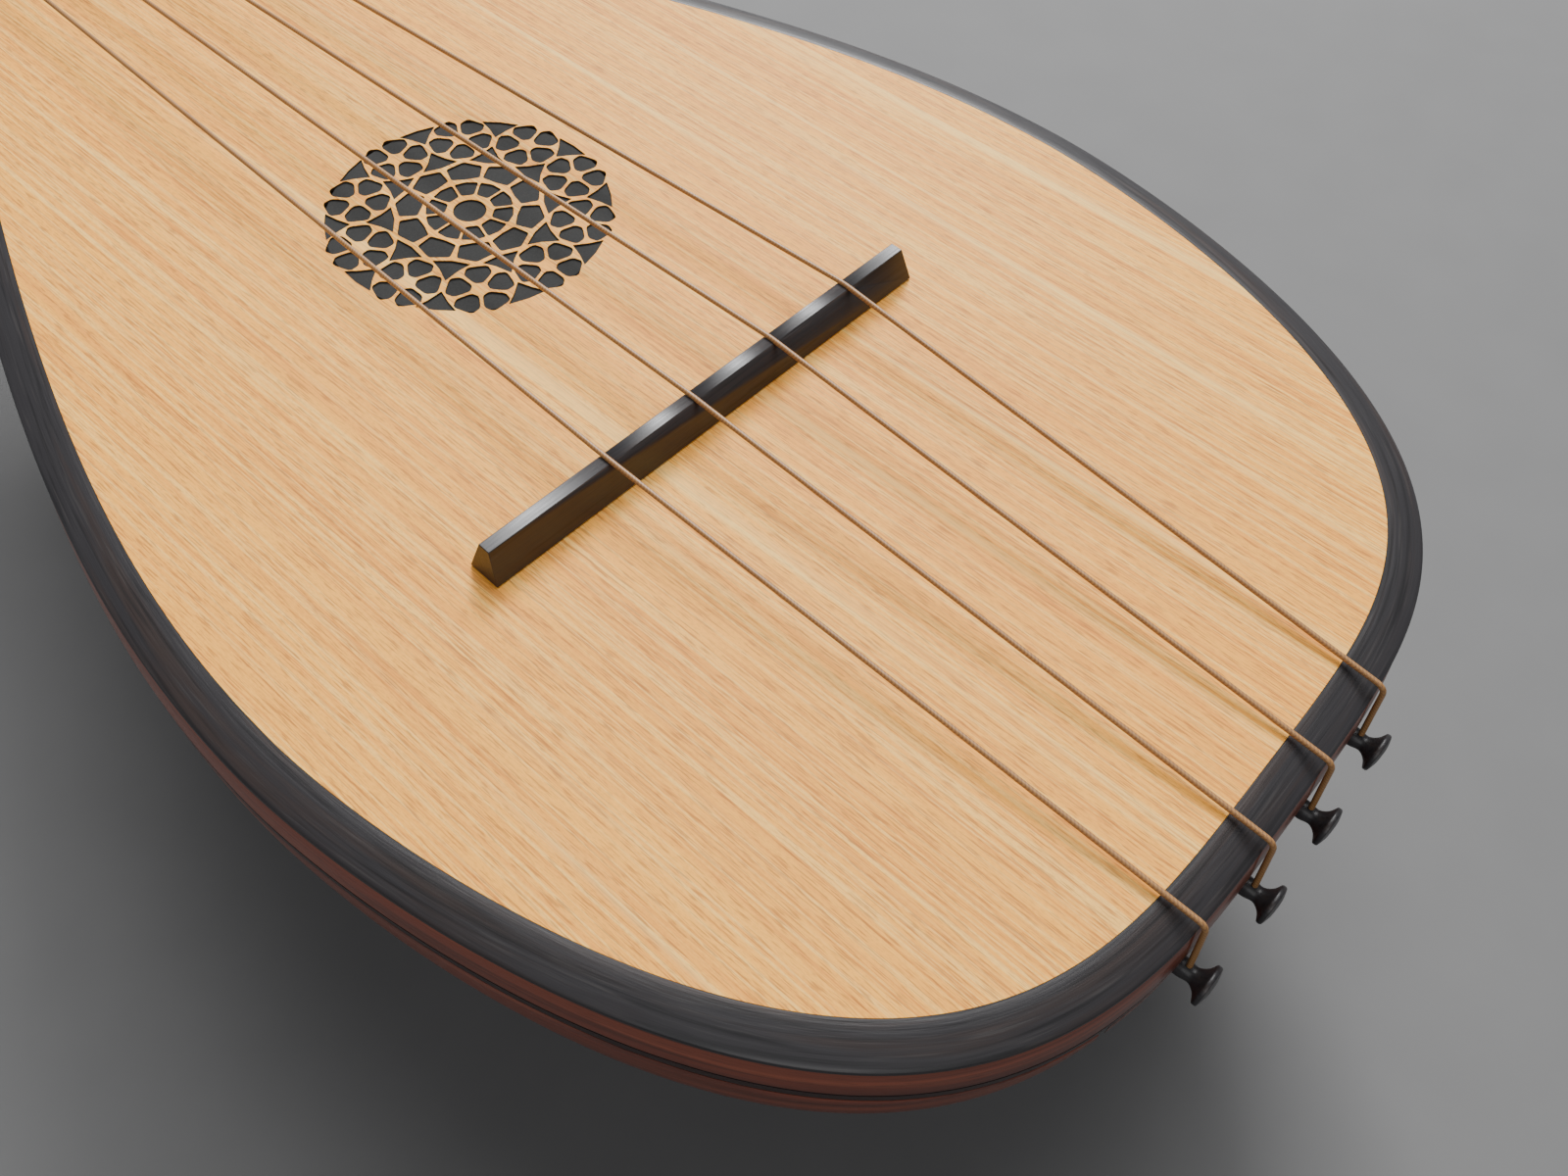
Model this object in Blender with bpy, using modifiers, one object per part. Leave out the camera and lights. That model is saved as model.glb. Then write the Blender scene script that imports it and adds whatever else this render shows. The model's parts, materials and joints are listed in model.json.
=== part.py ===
"""Four-string bowl-backed oud, lying face up on the flat of its back.

The face frame has its origin at the rose's centre on the top of the soundboard: +Y runs to the
neck, +X to the treble side and +Z out of the face. One empty carries that frame and stands the
whole instrument on z = 0, under the centre of its box. All lengths are metres.
"""

import math

import bmesh
import bpy
from mathutils import Matrix, Vector

# Soundboard outline
FACE_HALF_WIDTH = 0.1583
WIDEST_Y = -0.1120
NECK_JOINT_Y = 0.2790
FACE_TAIL_Y = -0.2926
NECK_JOINT_FACE_HALF = 0.0259
SHOULDER_REACH = 0.0805
THROAT_REACH = 0.2238
THROAT_SLOPE = 0.464
TAIL_SIDE_POWER = 1.70
TAIL_END_POWER = 3.67
FRONT_STATIONS = 12
TAIL_STATIONS = 16
OUTLINE_SAMPLES = 400

# Fits
GAP = 0.0003

# Soundboard and rose
FACE_THICKNESS = 0.0019
ROSE_RADIUS = 0.0450
ROSE_FOLDS = 10
PETALS = 5
ROSE_EYE = 0.112
FLOWER_RING = 0.806
BACKING_MARGIN = 0.0020
BACKING_THICKNESS = 0.0010

# Rim: ebony binding, rosewood side rib, double line, lining
BINDING_WIDTH = 0.0108
BINDING_DROP = 0.0030
BINDING_EDGE = 0.0012
BINDING_ROUND = 1.45
BINDING_STEPS = 3
SIDE_RIB_HEIGHT = 0.0103
SIDE_FLARE = 0.0015
SIDE_RIB_NECK_HEIGHT = 0.0020
SIDE_TAPER_START_Y = 0.0900
LINE_HEIGHT = 0.0040
WALL = 0.0030
LINING_REACH = 0.0060
LINING_HEIGHT = 0.0100
LINING_START_Y = 0.2250

# Bowl
BOWL_DEPTH = 0.1464
BOWL_NECK_DEPTH = 0.0155
FLAT_TAIL_Y = -0.1120
FLAT_NECK_Y = 0.0640
BACK_TAIL_POWER = 2.0
BACK_END_POWER = 2.4
RIBS = 11
RIB_LINE_WIDTH = 0.0022
RIB_LINE_DEPTH = 0.0013
RIB_LINE_GAP = 0.0004
TAIL_CAP_HALF = 0.0700
CAP_SEAM = 0.0008

# Inside
BLOCK_CLEARANCE = 0.0010
TAIL_BLOCK_HALF = 0.0560
TAIL_BLOCK_FRONT_Y = -0.2640
TAIL_BLOCK_DEPTH = 0.0420
NECK_BLOCK_LENGTH = 0.0420
BRACE_THICKNESS = 0.0070
BRACE_HEIGHT = 0.0140
BRACE_PLACES = (0.1900, 0.1150, 0.0620, -0.0620, -0.1900)

# Neck, fingerboard and nut
SCALE_LENGTH = 0.5600
NECK_NUT_HALF = 0.0300
NECK_JOINT_DEPTH = 0.0262
NECK_NUT_DEPTH = 0.0215
NECK_ROUNDNESS = 2.6
NECK_SIDES = 14
FINGERBOARD_THICKNESS = 0.0045
FINGERBOARD_OVERLAP = 0.0150
FINGERBOARD_INSET = 0.0010
NUT_THICKNESS = 0.0050
NUT_HEIGHT = 0.0095

# Pegbox, in its own frame: +Y along the box, +Z out of its open front
PEGBOX_BEND = math.radians(40.0)
ROOT_LENGTH = 0.0200
ROOT_DIP = 0.0030
PEGBOX_LENGTH = 0.1320
PEGBOX_ROOT_HALF = 0.0300
PEGBOX_TIP_HALF = 0.0185
PEGBOX_ROOT_HEIGHT = 0.0240
PEGBOX_TIP_HEIGHT = 0.0200
CHEEK_THICKNESS = 0.0050
FLOOR_THICKNESS = 0.0040
FINIAL_LENGTH = 0.0120
FINIAL_TAPER = 0.55

# Pegs, from the nut outwards
PEG_FIRST = 0.0370
PEG_PITCH = 0.0260
PEG_AXIS_DEPTH = 0.0100
PEG_HEAD_RADIUS = 0.0037
PEG_TAPER = 0.0120
PEG_STUB = 0.0030
PEG_COLLAR_RADIUS = 0.0058
PEG_COLLAR_LENGTH = 0.0040
PEG_COLLAR_STANDOFF = 0.0020
PEG_WAIST_RADIUS = 0.0030
PEG_THUMB_LENGTH = 0.0240
PEG_THUMB_WIDTH = 0.0240
PEG_THUMB_THICKNESS = 0.0066
WINDING_LENGTH = 0.0080
WINDING_DEPTH = 0.0016
ROUND_SIDES = 16
ROSE_SIDES = 40

# Strings, from the bass side to the treble side
STRINGS = 4
STRING_RADIUS = 0.0008
NUT_PITCH = 0.0168
BRIDGE_PITCH = 0.0319
PIN_PITCH = 0.0283
PIN_ROW_SHIFT = -0.0037
PEG_OF_STRING = (0, 2, 3, 1)
WINDING_X_OF_STRING = (-0.0120, -0.0050, 0.0045, 0.0110)
STRING_BEND_RADIUS = 0.0024
STRING_OVERHANG = 0.0002
TAIL_SADDLE_Z = 0.0004
STRING_BEND_STEPS = 5

# Bridge: a loose bar that the strings hold down
BRIDGE_Y = -0.1145
BRIDGE_SHIFT_X = -0.0091
BRIDGE_TURN = math.radians(-1.8)
BRIDGE_FOOT_HALF_LENGTH = 0.0829
BRIDGE_TOP_HALF_LENGTH = 0.0811
BRIDGE_FOOT_HALF = 0.0054
BRIDGE_TOP_HALF = 0.0020
BRIDGE_HEIGHT = 0.0104

# Hitch pins
PIN_SHANK_RADIUS = 0.0023
PIN_SHANK_DEPTH = 0.0200
PIN_DROP = 0.0033
PIN_STAND = 0.0008
PIN_NECK_RADIUS = 0.0027
PIN_WAIST_RADIUS = 0.0023
PIN_HEAD_RADIUS = 0.0057
PIN_REACH = 0.0086
PIN_HEAD_EDGE = 0.0012
PIN_DOME = 0.0013
PIN_SIDES = 12

# Finishes: colour, roughness and metallic
FINISHES = {
    "spruce": ((0.74, 0.48, 0.24), 0.45, 0.0),
    "ebony": ((0.024, 0.022, 0.022), 0.38, 0.0),
    "rosewood": ((0.105, 0.032, 0.016), 0.36, 0.0),
    "dark_line": ((0.030, 0.010, 0.006), 0.45, 0.0),
    "maple": ((0.42, 0.25, 0.12), 0.60, 0.0),
    "backing_cloth": ((0.030, 0.032, 0.035), 0.85, 0.0),
    "gut": ((0.33, 0.19, 0.09), 0.50, 0.0),
    "bone": ((0.70, 0.64, 0.50), 0.42, 0.0),
}

PARTS_COLLECTION = "oud"
CUTTERS_COLLECTION = "cutters"


# Scene helpers

def clear_scene():
    for obj in list(bpy.data.objects):
        bpy.data.objects.remove(obj, do_unlink=True)


def new_collection(name):
    collection = bpy.data.collections.new(name)
    bpy.context.scene.collection.children.link(collection)
    return collection


def finish(name):
    """The material of one finish, made once."""
    material = bpy.data.materials.get(name)
    if material:
        return material
    colour, roughness, metallic = FINISHES[name]
    material = bpy.data.materials.new(name)
    material.use_nodes = True
    shader = material.node_tree.nodes["Principled BSDF"]
    shader.inputs["Base Color"].default_value = (*colour, 1.0)
    shader.inputs["Roughness"].default_value = roughness
    shader.inputs["Metallic"].default_value = metallic
    material.diffuse_color = (*colour, 1.0)
    return material


def add_object(name, data, material, parent, collection=PARTS_COLLECTION):
    """An object holding data, in the collection and under the parent."""
    obj = bpy.data.objects.new(name, data)
    bpy.data.collections[collection].objects.link(obj)
    obj.parent = parent
    if material:
        data.materials.append(finish(material))
    return obj


def add_empty(name, parent, location, rotation=(0.0, 0.0, 0.0)):
    empty = bpy.data.objects.new(name, None)
    bpy.data.collections[PARTS_COLLECTION].objects.link(empty)
    empty.parent = parent
    empty.location = location
    empty.rotation_euler = rotation
    return empty


def mesh_from_bmesh(name, bm):
    """A mesh with its faces pointing out and its edges sharp past 40 degrees."""
    bmesh.ops.recalc_face_normals(bm, faces=bm.faces)
    mesh = bpy.data.meshes.new(name)
    bm.to_mesh(mesh)
    bm.free()
    mesh.shade_smooth()
    mesh.set_sharp_from_angle(angle=math.radians(40.0))
    return mesh


def loft(name, rings, material, parent, collection=PARTS_COLLECTION):
    """A closed solid skinned over rings of points, with its two end rings filled."""
    bm = bmesh.new()
    loops = [[bm.verts.new(point) for point in ring] for ring in rings]
    count = len(rings[0])
    for near, far in zip(loops, loops[1:]):
        for index in range(count):
            after = (index + 1) % count
            bm.faces.new((near[index], near[after], far[after], far[index]))
    bm.faces.new(loops[0])
    bm.faces.new(loops[-1])
    return add_object(name, mesh_from_bmesh(name, bm), material, parent, collection)


def box(name, low, high, material, parent, collection=PARTS_COLLECTION):
    """An axis-aligned box between two corners of the parent's frame."""
    bm = bmesh.new()
    bmesh.ops.create_cube(bm, size=1.0)
    low = Vector(low)
    high = Vector(high)
    for vert in bm.verts:
        vert.co = Vector(vert.co[axis] * (high - low)[axis] for axis in range(3))
    obj = add_object(name, mesh_from_bmesh(name, bm), material, parent, collection)
    obj.location = (low + high) / 2.0
    return obj


def plate(name, outlines, thickness, material, parent):
    """A flat plate: the first outline is its edge and the others are holes through it."""
    curve = bpy.data.curves.new(name, "CURVE")
    curve.dimensions = "2D"
    curve.fill_mode = "BOTH"
    curve.extrude = thickness / 2.0
    for outline in outlines:
        spline = curve.splines.new("POLY")
        spline.points.add(len(outline) - 1)
        for point, (x, y) in zip(spline.points, outline):
            point.co = (x, y, 0.0, 1.0)
        spline.use_cyclic_u = True
    return add_object(name, curve, material, parent)


def turned(name, profile, sides, material, parent, collection=PARTS_COLLECTION):
    """A turned solid about its own Z axis, from (radius, height) points listed top to bottom."""
    mesh = bpy.data.meshes.new(name)
    edges = [(index, index + 1) for index in range(len(profile) - 1)]
    mesh.from_pydata([(radius, 0.0, height) for radius, height in profile], edges, [])
    obj = add_object(name, mesh, material, parent, collection)
    screw = obj.modifiers.new("Screw", "SCREW")
    screw.steps = sides
    screw.render_steps = sides
    screw.use_merge_vertices = True
    screw.merge_threshold = 0.00001
    screw.use_smooth_shade = True
    return obj


def cylinder(name, radius_low, radius_high, length, parent, matrix, sides=ROUND_SIDES):
    """A cutter: a cone or cylinder centred on its own Z axis and placed by a matrix."""
    bm = bmesh.new()
    bmesh.ops.create_cone(
        bm, cap_ends=True, segments=sides, radius1=radius_low, radius2=radius_high, depth=length
    )
    obj = add_object(name, mesh_from_bmesh(name, bm), None, parent, CUTTERS_COLLECTION)
    obj.matrix_local = matrix
    return hide(obj)


def hide(obj):
    obj.hide_render = True
    obj.display_type = "WIRE"
    return obj


def boolean(obj, other, operation):
    modifier = obj.modifiers.new(operation.title(), "BOOLEAN")
    modifier.operation = operation
    modifier.object = other
    modifier.solver = "EXACT"


# Outline of the face

def smooth_step(share):
    share = min(max(share, 0.0), 1.0)
    return share * share * (3.0 - 2.0 * share)


def shoulder_point(share):
    """A point of the curve from the widest place (share 0) to the neck joint (share 1)."""
    ends = (
        Vector((FACE_HALF_WIDTH, WIDEST_Y)),
        Vector((FACE_HALF_WIDTH, WIDEST_Y + SHOULDER_REACH)),
        Vector((NECK_JOINT_FACE_HALF + THROAT_SLOPE * THROAT_REACH, NECK_JOINT_Y - THROAT_REACH)),
        Vector((NECK_JOINT_FACE_HALF, NECK_JOINT_Y)),
    )
    rest = 1.0 - share
    weights = (rest**3, 3.0 * rest**2 * share, 3.0 * rest * share**2, share**3)
    return sum((end * weight for end, weight in zip(ends, weights)), Vector((0.0, 0.0)))


def tail_point(share):
    """A point of the blunt tail curve, from the widest place (share 0) to the tail (share 1)."""
    angle = math.pi / 2.0 * (1.0 - (1.0 - share) ** 2)
    along = math.sin(angle) ** (2.0 / TAIL_SIDE_POWER)
    across = max(math.cos(angle), 0.0) ** (2.0 / TAIL_END_POWER)
    return Vector((FACE_HALF_WIDTH * across, WIDEST_Y + (FACE_TAIL_Y - WIDEST_Y) * along))


def even_steps(points, count):
    """Count + 1 points spread evenly along a polyline, its ends included."""
    lengths = [0.0]
    for near, far in zip(points, points[1:]):
        lengths.append(lengths[-1] + (far - near).length)
    found = []
    index = 0
    for step in range(count + 1):
        target = lengths[-1] * step / count
        while index < len(points) - 2 and lengths[index + 1] < target:
            index += 1
        span = lengths[index + 1] - lengths[index]
        found.append(points[index].lerp(points[index + 1], min((target - lengths[index]) / span, 1.0)))
    return found


def half_stations():
    """(point, outward direction) pairs along the treble half, from the neck joint to the tail."""
    shares = [step / OUTLINE_SAMPLES for step in range(OUTLINE_SAMPLES + 1)]
    front = [shoulder_point(1.0 - share) for share in shares]
    tail = [tail_point(share) for share in shares]
    points = even_steps(front, FRONT_STATIONS)[:-1] + even_steps(tail, TAIL_STATIONS)
    stations = []
    for index, point in enumerate(points):
        before = points[max(index - 1, 0)]
        after = points[min(index + 1, len(points) - 1)]
        along = (after - before).normalized()
        outward = Vector((-along.y, along.x))
        if index == 0:
            outward = Vector((1.0 / outward.x, 0.0))
        if index == len(points) - 1:
            outward = Vector((0.0, -1.0))
        stations.append((point, outward))
    return stations


def full_stations(stations):
    """The same pairs all the way round, from the treble side of the neck to the bass side."""
    mirrored = [
        (Vector((-point.x, point.y)), Vector((-outward.x, outward.y)))
        for point, outward in reversed(stations[:-1])
    ]
    return stations + mirrored


def face_half_at(y, stations):
    """The face's half width at y, read along its straight steps."""
    for (near, _), (far, _) in zip(stations, stations[1:]):
        if far.y <= y <= near.y:
            return near.x + (far.x - near.x) * (y - near.y) / (far.y - near.y)
    return 0.0


# Bowl surface

def side_rib_top():
    return -(BINDING_DROP + BINDING_EDGE + GAP)


def side_taper(y):
    """0 along the body's side, rising to 1 at the neck joint."""
    return smooth_step((y - SIDE_TAPER_START_Y) / (NECK_JOINT_Y - SIDE_TAPER_START_Y))


def side_rib_height(y):
    return SIDE_RIB_HEIGHT + (SIDE_RIB_NECK_HEIGHT - SIDE_RIB_HEIGHT) * side_taper(y)


def side_flare(y):
    """How far the side rib's lower edge stands out beyond the binding."""
    return SIDE_FLARE * (1.0 - side_taper(y))


def line_top(y):
    return side_rib_top() - side_rib_height(y) - GAP


def bowl_top(y):
    return line_top(y) - LINE_HEIGHT - GAP


def bowl_depth(y, tail_y):
    """Depth of the back below the bowl's top: full and level over the flat stretch."""
    if y > FLAT_NECK_Y:
        share = (y - FLAT_NECK_Y) / (NECK_JOINT_Y - FLAT_NECK_Y)
        return BOWL_DEPTH + (BOWL_NECK_DEPTH - BOWL_DEPTH) * share**2
    if y < FLAT_TAIL_Y:
        share = min((FLAT_TAIL_Y - y) / (FLAT_TAIL_Y - tail_y), 1.0)
        return BOWL_DEPTH * (1.0 - share**BACK_TAIL_POWER) ** (1.0 / BACK_END_POWER)
    return BOWL_DEPTH


class Bowl:
    """The outer surface of the back, over the stations of the rim."""

    def __init__(self, stations):
        self.rim = [
            point + outward * (BINDING_WIDTH + side_flare(point.y)) for point, outward in stations
        ]
        self.tops = [bowl_top(point.y) for point, _ in stations]
        self.tail_y = self.rim[-1].y
        self.last = max(i for i, point in enumerate(self.rim) if point.x > TAIL_CAP_HALF)

    def station(self, place):
        """Half width, y, top and depth of the section at a place, which may lie between stations."""
        index = min(int(place), len(self.rim) - 2)
        values = []
        for rim, top in zip(self.rim[index:index + 2], self.tops[index:index + 2]):
            values.append((rim.x, rim.y, top, bowl_depth(rim.y, self.tail_y)))
        share = place - index
        return [near + (far - near) * share for near, far in zip(*values)]

    def point(self, place, angle):
        half, y, top, depth = self.station(place)
        fall = min(math.sin(angle), level_share())
        return Vector((half * math.cos(angle), y, top - depth * fall))

    def normal(self, place, angle):
        """Outward direction, from the stations on both sides."""
        step = 0.5
        last = len(self.rim) - 1
        along = self.point(min(place + step, last), angle) - self.point(max(place - step, 0.0), angle)
        half, _, _, depth = self.station(place)
        slope = depth * math.cos(angle) if math.sin(angle) < level_share() else 0.0
        across = Vector((-half * math.sin(angle), 0.0, -slope))
        return along.cross(across).normalized()

    def inside(self, place, angle, distance):
        return self.point(place, angle) - self.normal(place, angle) * distance

    def angle_of(self, place, angle, width):
        """The angle that a width on the surface takes up at this place."""
        half, _, _, depth = self.station(place)
        return width / math.hypot(half * math.sin(angle), depth * math.cos(angle))


def rib_edge(index):
    return math.pi * index / RIBS


def level_share():
    """The share of the full depth at which the centre rib's flat lies."""
    return math.sin(rib_edge(RIBS // 2))


def rib_angles(bowl, place, index):
    """The angles across one rib: two edges, and the crown between them unless it is the centre rib."""
    half_line = RIB_LINE_WIDTH / 2.0 + RIB_LINE_GAP
    low = rib_edge(index)
    high = rib_edge(index + 1)
    if index > 0:
        low += bowl.angle_of(place, low, half_line)
    if index < RIBS - 1:
        high -= bowl.angle_of(place, high, half_line)
    if index == RIBS // 2:
        return [low, high]
    return [low, (low + high) / 2.0, high]


def bowl_angles():
    """Angles right across the bowl: every rib edge, and every crown but the level centre one."""
    angles = []
    for index in range(RIBS):
        angles.append(rib_edge(index))
        if index != RIBS // 2:
            angles.append(rib_edge(index + 0.5))
    return [*angles, math.pi]


def strip_ring(bowl, place, angles, thickness):
    """A closed ring round a strip's thickness: along the outside, then back along the inside."""
    outside = [bowl.point(place, angle) for angle in angles]
    inside = [bowl.inside(place, angle, thickness) for angle in reversed(angles)]
    return outside + inside


def build_ribs(bowl, face):
    for index in range(RIBS):
        places = range(bowl.last + 1)
        rings = [strip_ring(bowl, place, rib_angles(bowl, place, index), WALL) for place in places]
        loft(f"rib_{index + 1}", rings, "rosewood", face)


def build_rib_lines(bowl, face):
    for index in range(1, RIBS):
        rings = []
        for place in range(bowl.last + 1):
            half = bowl.angle_of(place, rib_edge(index), RIB_LINE_WIDTH / 2.0)
            angles = [rib_edge(index) - half, rib_edge(index) + half]
            rings.append(strip_ring(bowl, place, angles, RIB_LINE_DEPTH))
        loft(f"rib_line_{index}", rings, "dark_line", face)


def build_hollow(name, bowl, face, clear):
    """A cutter that fills the inside of the bowl, a distance clear of its outer surface."""
    rings = []
    for place in range(len(bowl.rim) - 1):
        ring = [bowl.inside(place, angle, clear) for angle in bowl_angles()]
        top = -(FACE_THICKNESS + GAP)
        first = Vector((ring[0].x, ring[0].y, top))
        last = Vector((ring[-1].x, ring[-1].y, top))
        rings.append([first, *ring, last])
    start = [Vector((point.x, NECK_JOINT_Y + WALL, point.z)) for point in rings[0]]
    return hide(loft(name, [start, *rings], None, face, CUTTERS_COLLECTION))


def build_tail_cap(bowl, face):
    """The hollowed cap that closes the ends of the ribs."""
    seam = CAP_SEAM / (bowl.rim[bowl.last + 1] - bowl.rim[bowl.last]).length
    places = [bowl.last + seam] + list(range(bowl.last + 1, len(bowl.rim) - 1))
    rings = [[bowl.point(place, angle) for angle in bowl_angles()] for place in places]
    cap = loft("tail_cap", rings, "rosewood", face)
    boolean(cap, build_hollow("cap_hollow", bowl, face, WALL), "DIFFERENCE")
    return cap


# Rim

def rim_strip(name, stations, section, material, face):
    """A strip swept round the rim. section(y) gives its (outward offset, z) corners."""
    rings = []
    for point, outward in stations:
        corners = section(point.y)
        rings.append([(*(point + outward * offset), z) for offset, z in corners])
    loft(name, rings, material, face)


def binding_section(_):
    bottom = -(BINDING_DROP + BINDING_EDGE)
    corners = [(0.0, bottom), (0.0, 0.0)]
    for step in range(1, BINDING_STEPS + 1):
        share = step / BINDING_STEPS
        corners.append((BINDING_WIDTH * share, -BINDING_DROP * share**BINDING_ROUND))
    corners.append((BINDING_WIDTH, bottom))
    return corners


def wall_section(top, bottom, flare_top, flare_bottom):
    high = BINDING_WIDTH + flare_top
    low = BINDING_WIDTH + flare_bottom
    return [(low - WALL, bottom), (high - WALL, top), (high, top), (low, bottom)]


def side_rib_section(y):
    return wall_section(side_rib_top(), side_rib_top() - side_rib_height(y), 0.0, side_flare(y))


def side_line_section(y):
    return wall_section(line_top(y), line_top(y) - LINE_HEIGHT, side_flare(y), side_flare(y))


def lining_section(_):
    """An L that carries the soundboard's edge and backs the binding."""
    inner = -LINING_REACH
    step = -GAP
    outer = BINDING_WIDTH - WALL - GAP
    shelf = -(FACE_THICKNESS + GAP)
    return [
        (inner, shelf - LINING_HEIGHT),
        (inner, shelf),
        (step, shelf),
        (step, side_rib_top()),
        (outer, side_rib_top()),
        (outer, shelf - LINING_HEIGHT),
    ]


def build_rim(stations, face):
    whole = full_stations(stations)
    rim_strip("rim_binding", whole, binding_section, "ebony", face)
    rim_strip("side_rib", whole, side_rib_section, "rosewood", face)
    rim_strip("side_line", whole, side_line_section, "dark_line", face)
    lined = [pair for pair in whole if pair[0].y < LINING_START_Y]
    rim_strip("soundboard_lining", lined, lining_section, "maple", face)


# Soundboard

def polar(radius, angle):
    """A point of the rose, measured from the neck's direction and in rose radii."""
    distance = radius * ROSE_RADIUS
    return (distance * math.sin(angle), distance * math.cos(angle))


def turned_points(points, angle):
    """Points given as (sideways, outward) in rose radii, turned to a direction of the rose."""
    found = []
    for sideways, outward in points:
        found.append(polar(math.hypot(sideways, outward), angle + math.atan2(sideways, outward)))
    return found


def petal(number, angle):
    """One pebble of a five-petal flower: a kite with its narrow end at the flower's middle."""
    spread = math.pi + 2.0 * math.pi * number / PETALS
    kite = [(-0.026, 0.064), (0.026, 0.064), (0.086, 0.150), (0.058, 0.215), (-0.058, 0.215), (-0.086, 0.150)]
    points = []
    for sideways, outward in kite:
        x = sideways * math.cos(spread) + outward * math.sin(spread)
        y = outward * math.cos(spread) - sideways * math.sin(spread)
        points.append((x, FLOWER_RING + y))
    return turned_points(points, angle)


def rose_holes():
    """Every hole of the pierced rose, worked out from its tenfold pattern."""
    fold = 2.0 * math.pi / ROSE_FOLDS
    holes = [[polar(ROSE_EYE, 2.0 * math.pi * step / 12) for step in range(12)]]
    wedge = [(-0.040, 0.171), (0.040, 0.171), (0.078, 0.291), (0.0, 0.308), (-0.078, 0.291)]
    house = [(-0.098, 0.346), (0.098, 0.346), (0.121, 0.470), (0.0, 0.530), (-0.121, 0.470)]
    arrow = [(-0.110, 0.540), (0.110, 0.540), (0.054, 0.608), (0.0, 0.696), (-0.054, 0.608)]
    edge = [(0.0, 0.836), (-0.058, 0.918), (-0.122, 0.989), (0.0, 0.998), (0.122, 0.989), (0.058, 0.918)]
    for index in range(ROSE_FOLDS):
        spoke = fold * index
        between = spoke + fold / 2.0
        holes.append(turned_points(wedge, spoke))
        holes.append(turned_points(house, spoke))
        holes.append(turned_points(arrow, between))
        holes.append(turned_points(edge, between))
        for number in range(PETALS):
            holes.append(petal(number, spoke))
    return holes


def build_soundboard(stations, face):
    edge = [point - outward * GAP for point, outward in full_stations(stations)]
    board = plate("soundboard", [edge, *rose_holes()], FACE_THICKNESS, "spruce", face)
    board.location.z = -FACE_THICKNESS / 2.0


def build_rose_backing(face):
    """A thin dark disc behind the pierced rose."""
    radius = ROSE_RADIUS + BACKING_MARGIN
    top = -(FACE_THICKNESS + GAP)
    profile = [(0.0, top), (radius, top), (radius, top - BACKING_THICKNESS), (0.0, top - BACKING_THICKNESS)]
    turned("rose_backing", profile, ROSE_SIDES, "backing_cloth", face)


# Inside

def build_blocks(face, hollow):
    deep = -(bowl_top_drop() + TAIL_BLOCK_DEPTH)
    under_lining = -(FACE_THICKNESS + LINING_HEIGHT + 3.0 * GAP)
    low = (-TAIL_BLOCK_HALF, FACE_TAIL_Y - BINDING_WIDTH, deep)
    high = (TAIL_BLOCK_HALF, TAIL_BLOCK_FRONT_Y, under_lining)
    tail_block = box("tail_block", low, high, "maple", face)
    boolean(tail_block, hollow, "INTERSECT")
    low = (-FACE_HALF_WIDTH, NECK_JOINT_Y - NECK_BLOCK_LENGTH, -BOWL_DEPTH)
    high = (FACE_HALF_WIDTH, NECK_JOINT_Y, side_rib_top())
    neck_block = box("neck_block", low, high, "maple", face)
    boolean(neck_block, hollow, "INTERSECT")
    return tail_block


def bowl_top_drop():
    return -bowl_top(FACE_TAIL_Y)


def build_braces(stations, face):
    top = -(FACE_THICKNESS + GAP)
    for number, y in enumerate(BRACE_PLACES):
        ends = (y - BRACE_THICKNESS / 2.0, y + BRACE_THICKNESS / 2.0)
        half = min(face_half_at(end, stations) for end in ends)
        half -= LINING_REACH * math.sqrt(1.0 + THROAT_SLOPE**2) + GAP
        low = (-half, ends[0], top - BRACE_HEIGHT)
        high = (half, ends[1], top)
        box(f"brace_{number + 1}", low, high, "spruce", face)


# Neck

def nut_y():
    return BRIDGE_Y + SCALE_LENGTH


def neck_ring(y, half, depth):
    """A neck section: flat on top, and a full round back."""
    ring = []
    power = 2.0 / NECK_ROUNDNESS
    for step in range(NECK_SIDES + 1):
        angle = math.pi * step / NECK_SIDES
        across = math.copysign(abs(math.cos(angle)) ** power, math.cos(angle))
        ring.append(Vector((half * across, y, -depth * math.sin(angle) ** power)))
    return ring


def build_neck(stations, face):
    joint_half = NECK_JOINT_FACE_HALF + stations[0][1].x * BINDING_WIDTH
    end_y = nut_y() + NUT_THICKNESS
    rings = [
        neck_ring(NECK_JOINT_Y + GAP, joint_half, NECK_JOINT_DEPTH),
        neck_ring(end_y, NECK_NUT_HALF, NECK_NUT_DEPTH),
    ]
    loft("neck", rings, "rosewood", face)
    start_y = NECK_JOINT_Y - FINGERBOARD_OVERLAP
    start = joint_half - FINGERBOARD_INSET
    end = NECK_NUT_HALF - FINGERBOARD_INSET
    outline = [(-start, start_y), (start, start_y), (end, nut_y() - GAP), (-end, nut_y() - GAP)]
    board = plate("fingerboard", [outline], FINGERBOARD_THICKNESS, "ebony", face)
    board.location.z = FINGERBOARD_THICKNESS / 2.0 + GAP


def build_nut(face):
    half = NECK_NUT_HALF - FINGERBOARD_INSET
    low = (-half, nut_y(), GAP)
    high = (half, nut_y() + NUT_THICKNESS, NUT_HEIGHT)
    nut = box("nut", low, high, "bone", face)
    bevel = nut.modifiers.new("Bevel", "BEVEL")
    bevel.width = 0.0008
    bevel.segments = 1
    for index in range(STRINGS):
        place = Vector((string_x(index, NUT_PITCH), nut_y(), string_rest(NUT_HEIGHT)))
        boolean(nut, notch(f"nut_notch_{index + 1}", place, 0.0, face), "DIFFERENCE")


# Bridge

def string_x(index, pitch):
    return pitch * (index - (STRINGS - 1) / 2.0)


def string_rest(height):
    """Height of a string's centre where it lies half sunk in a notch."""
    return height + GAP


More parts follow.
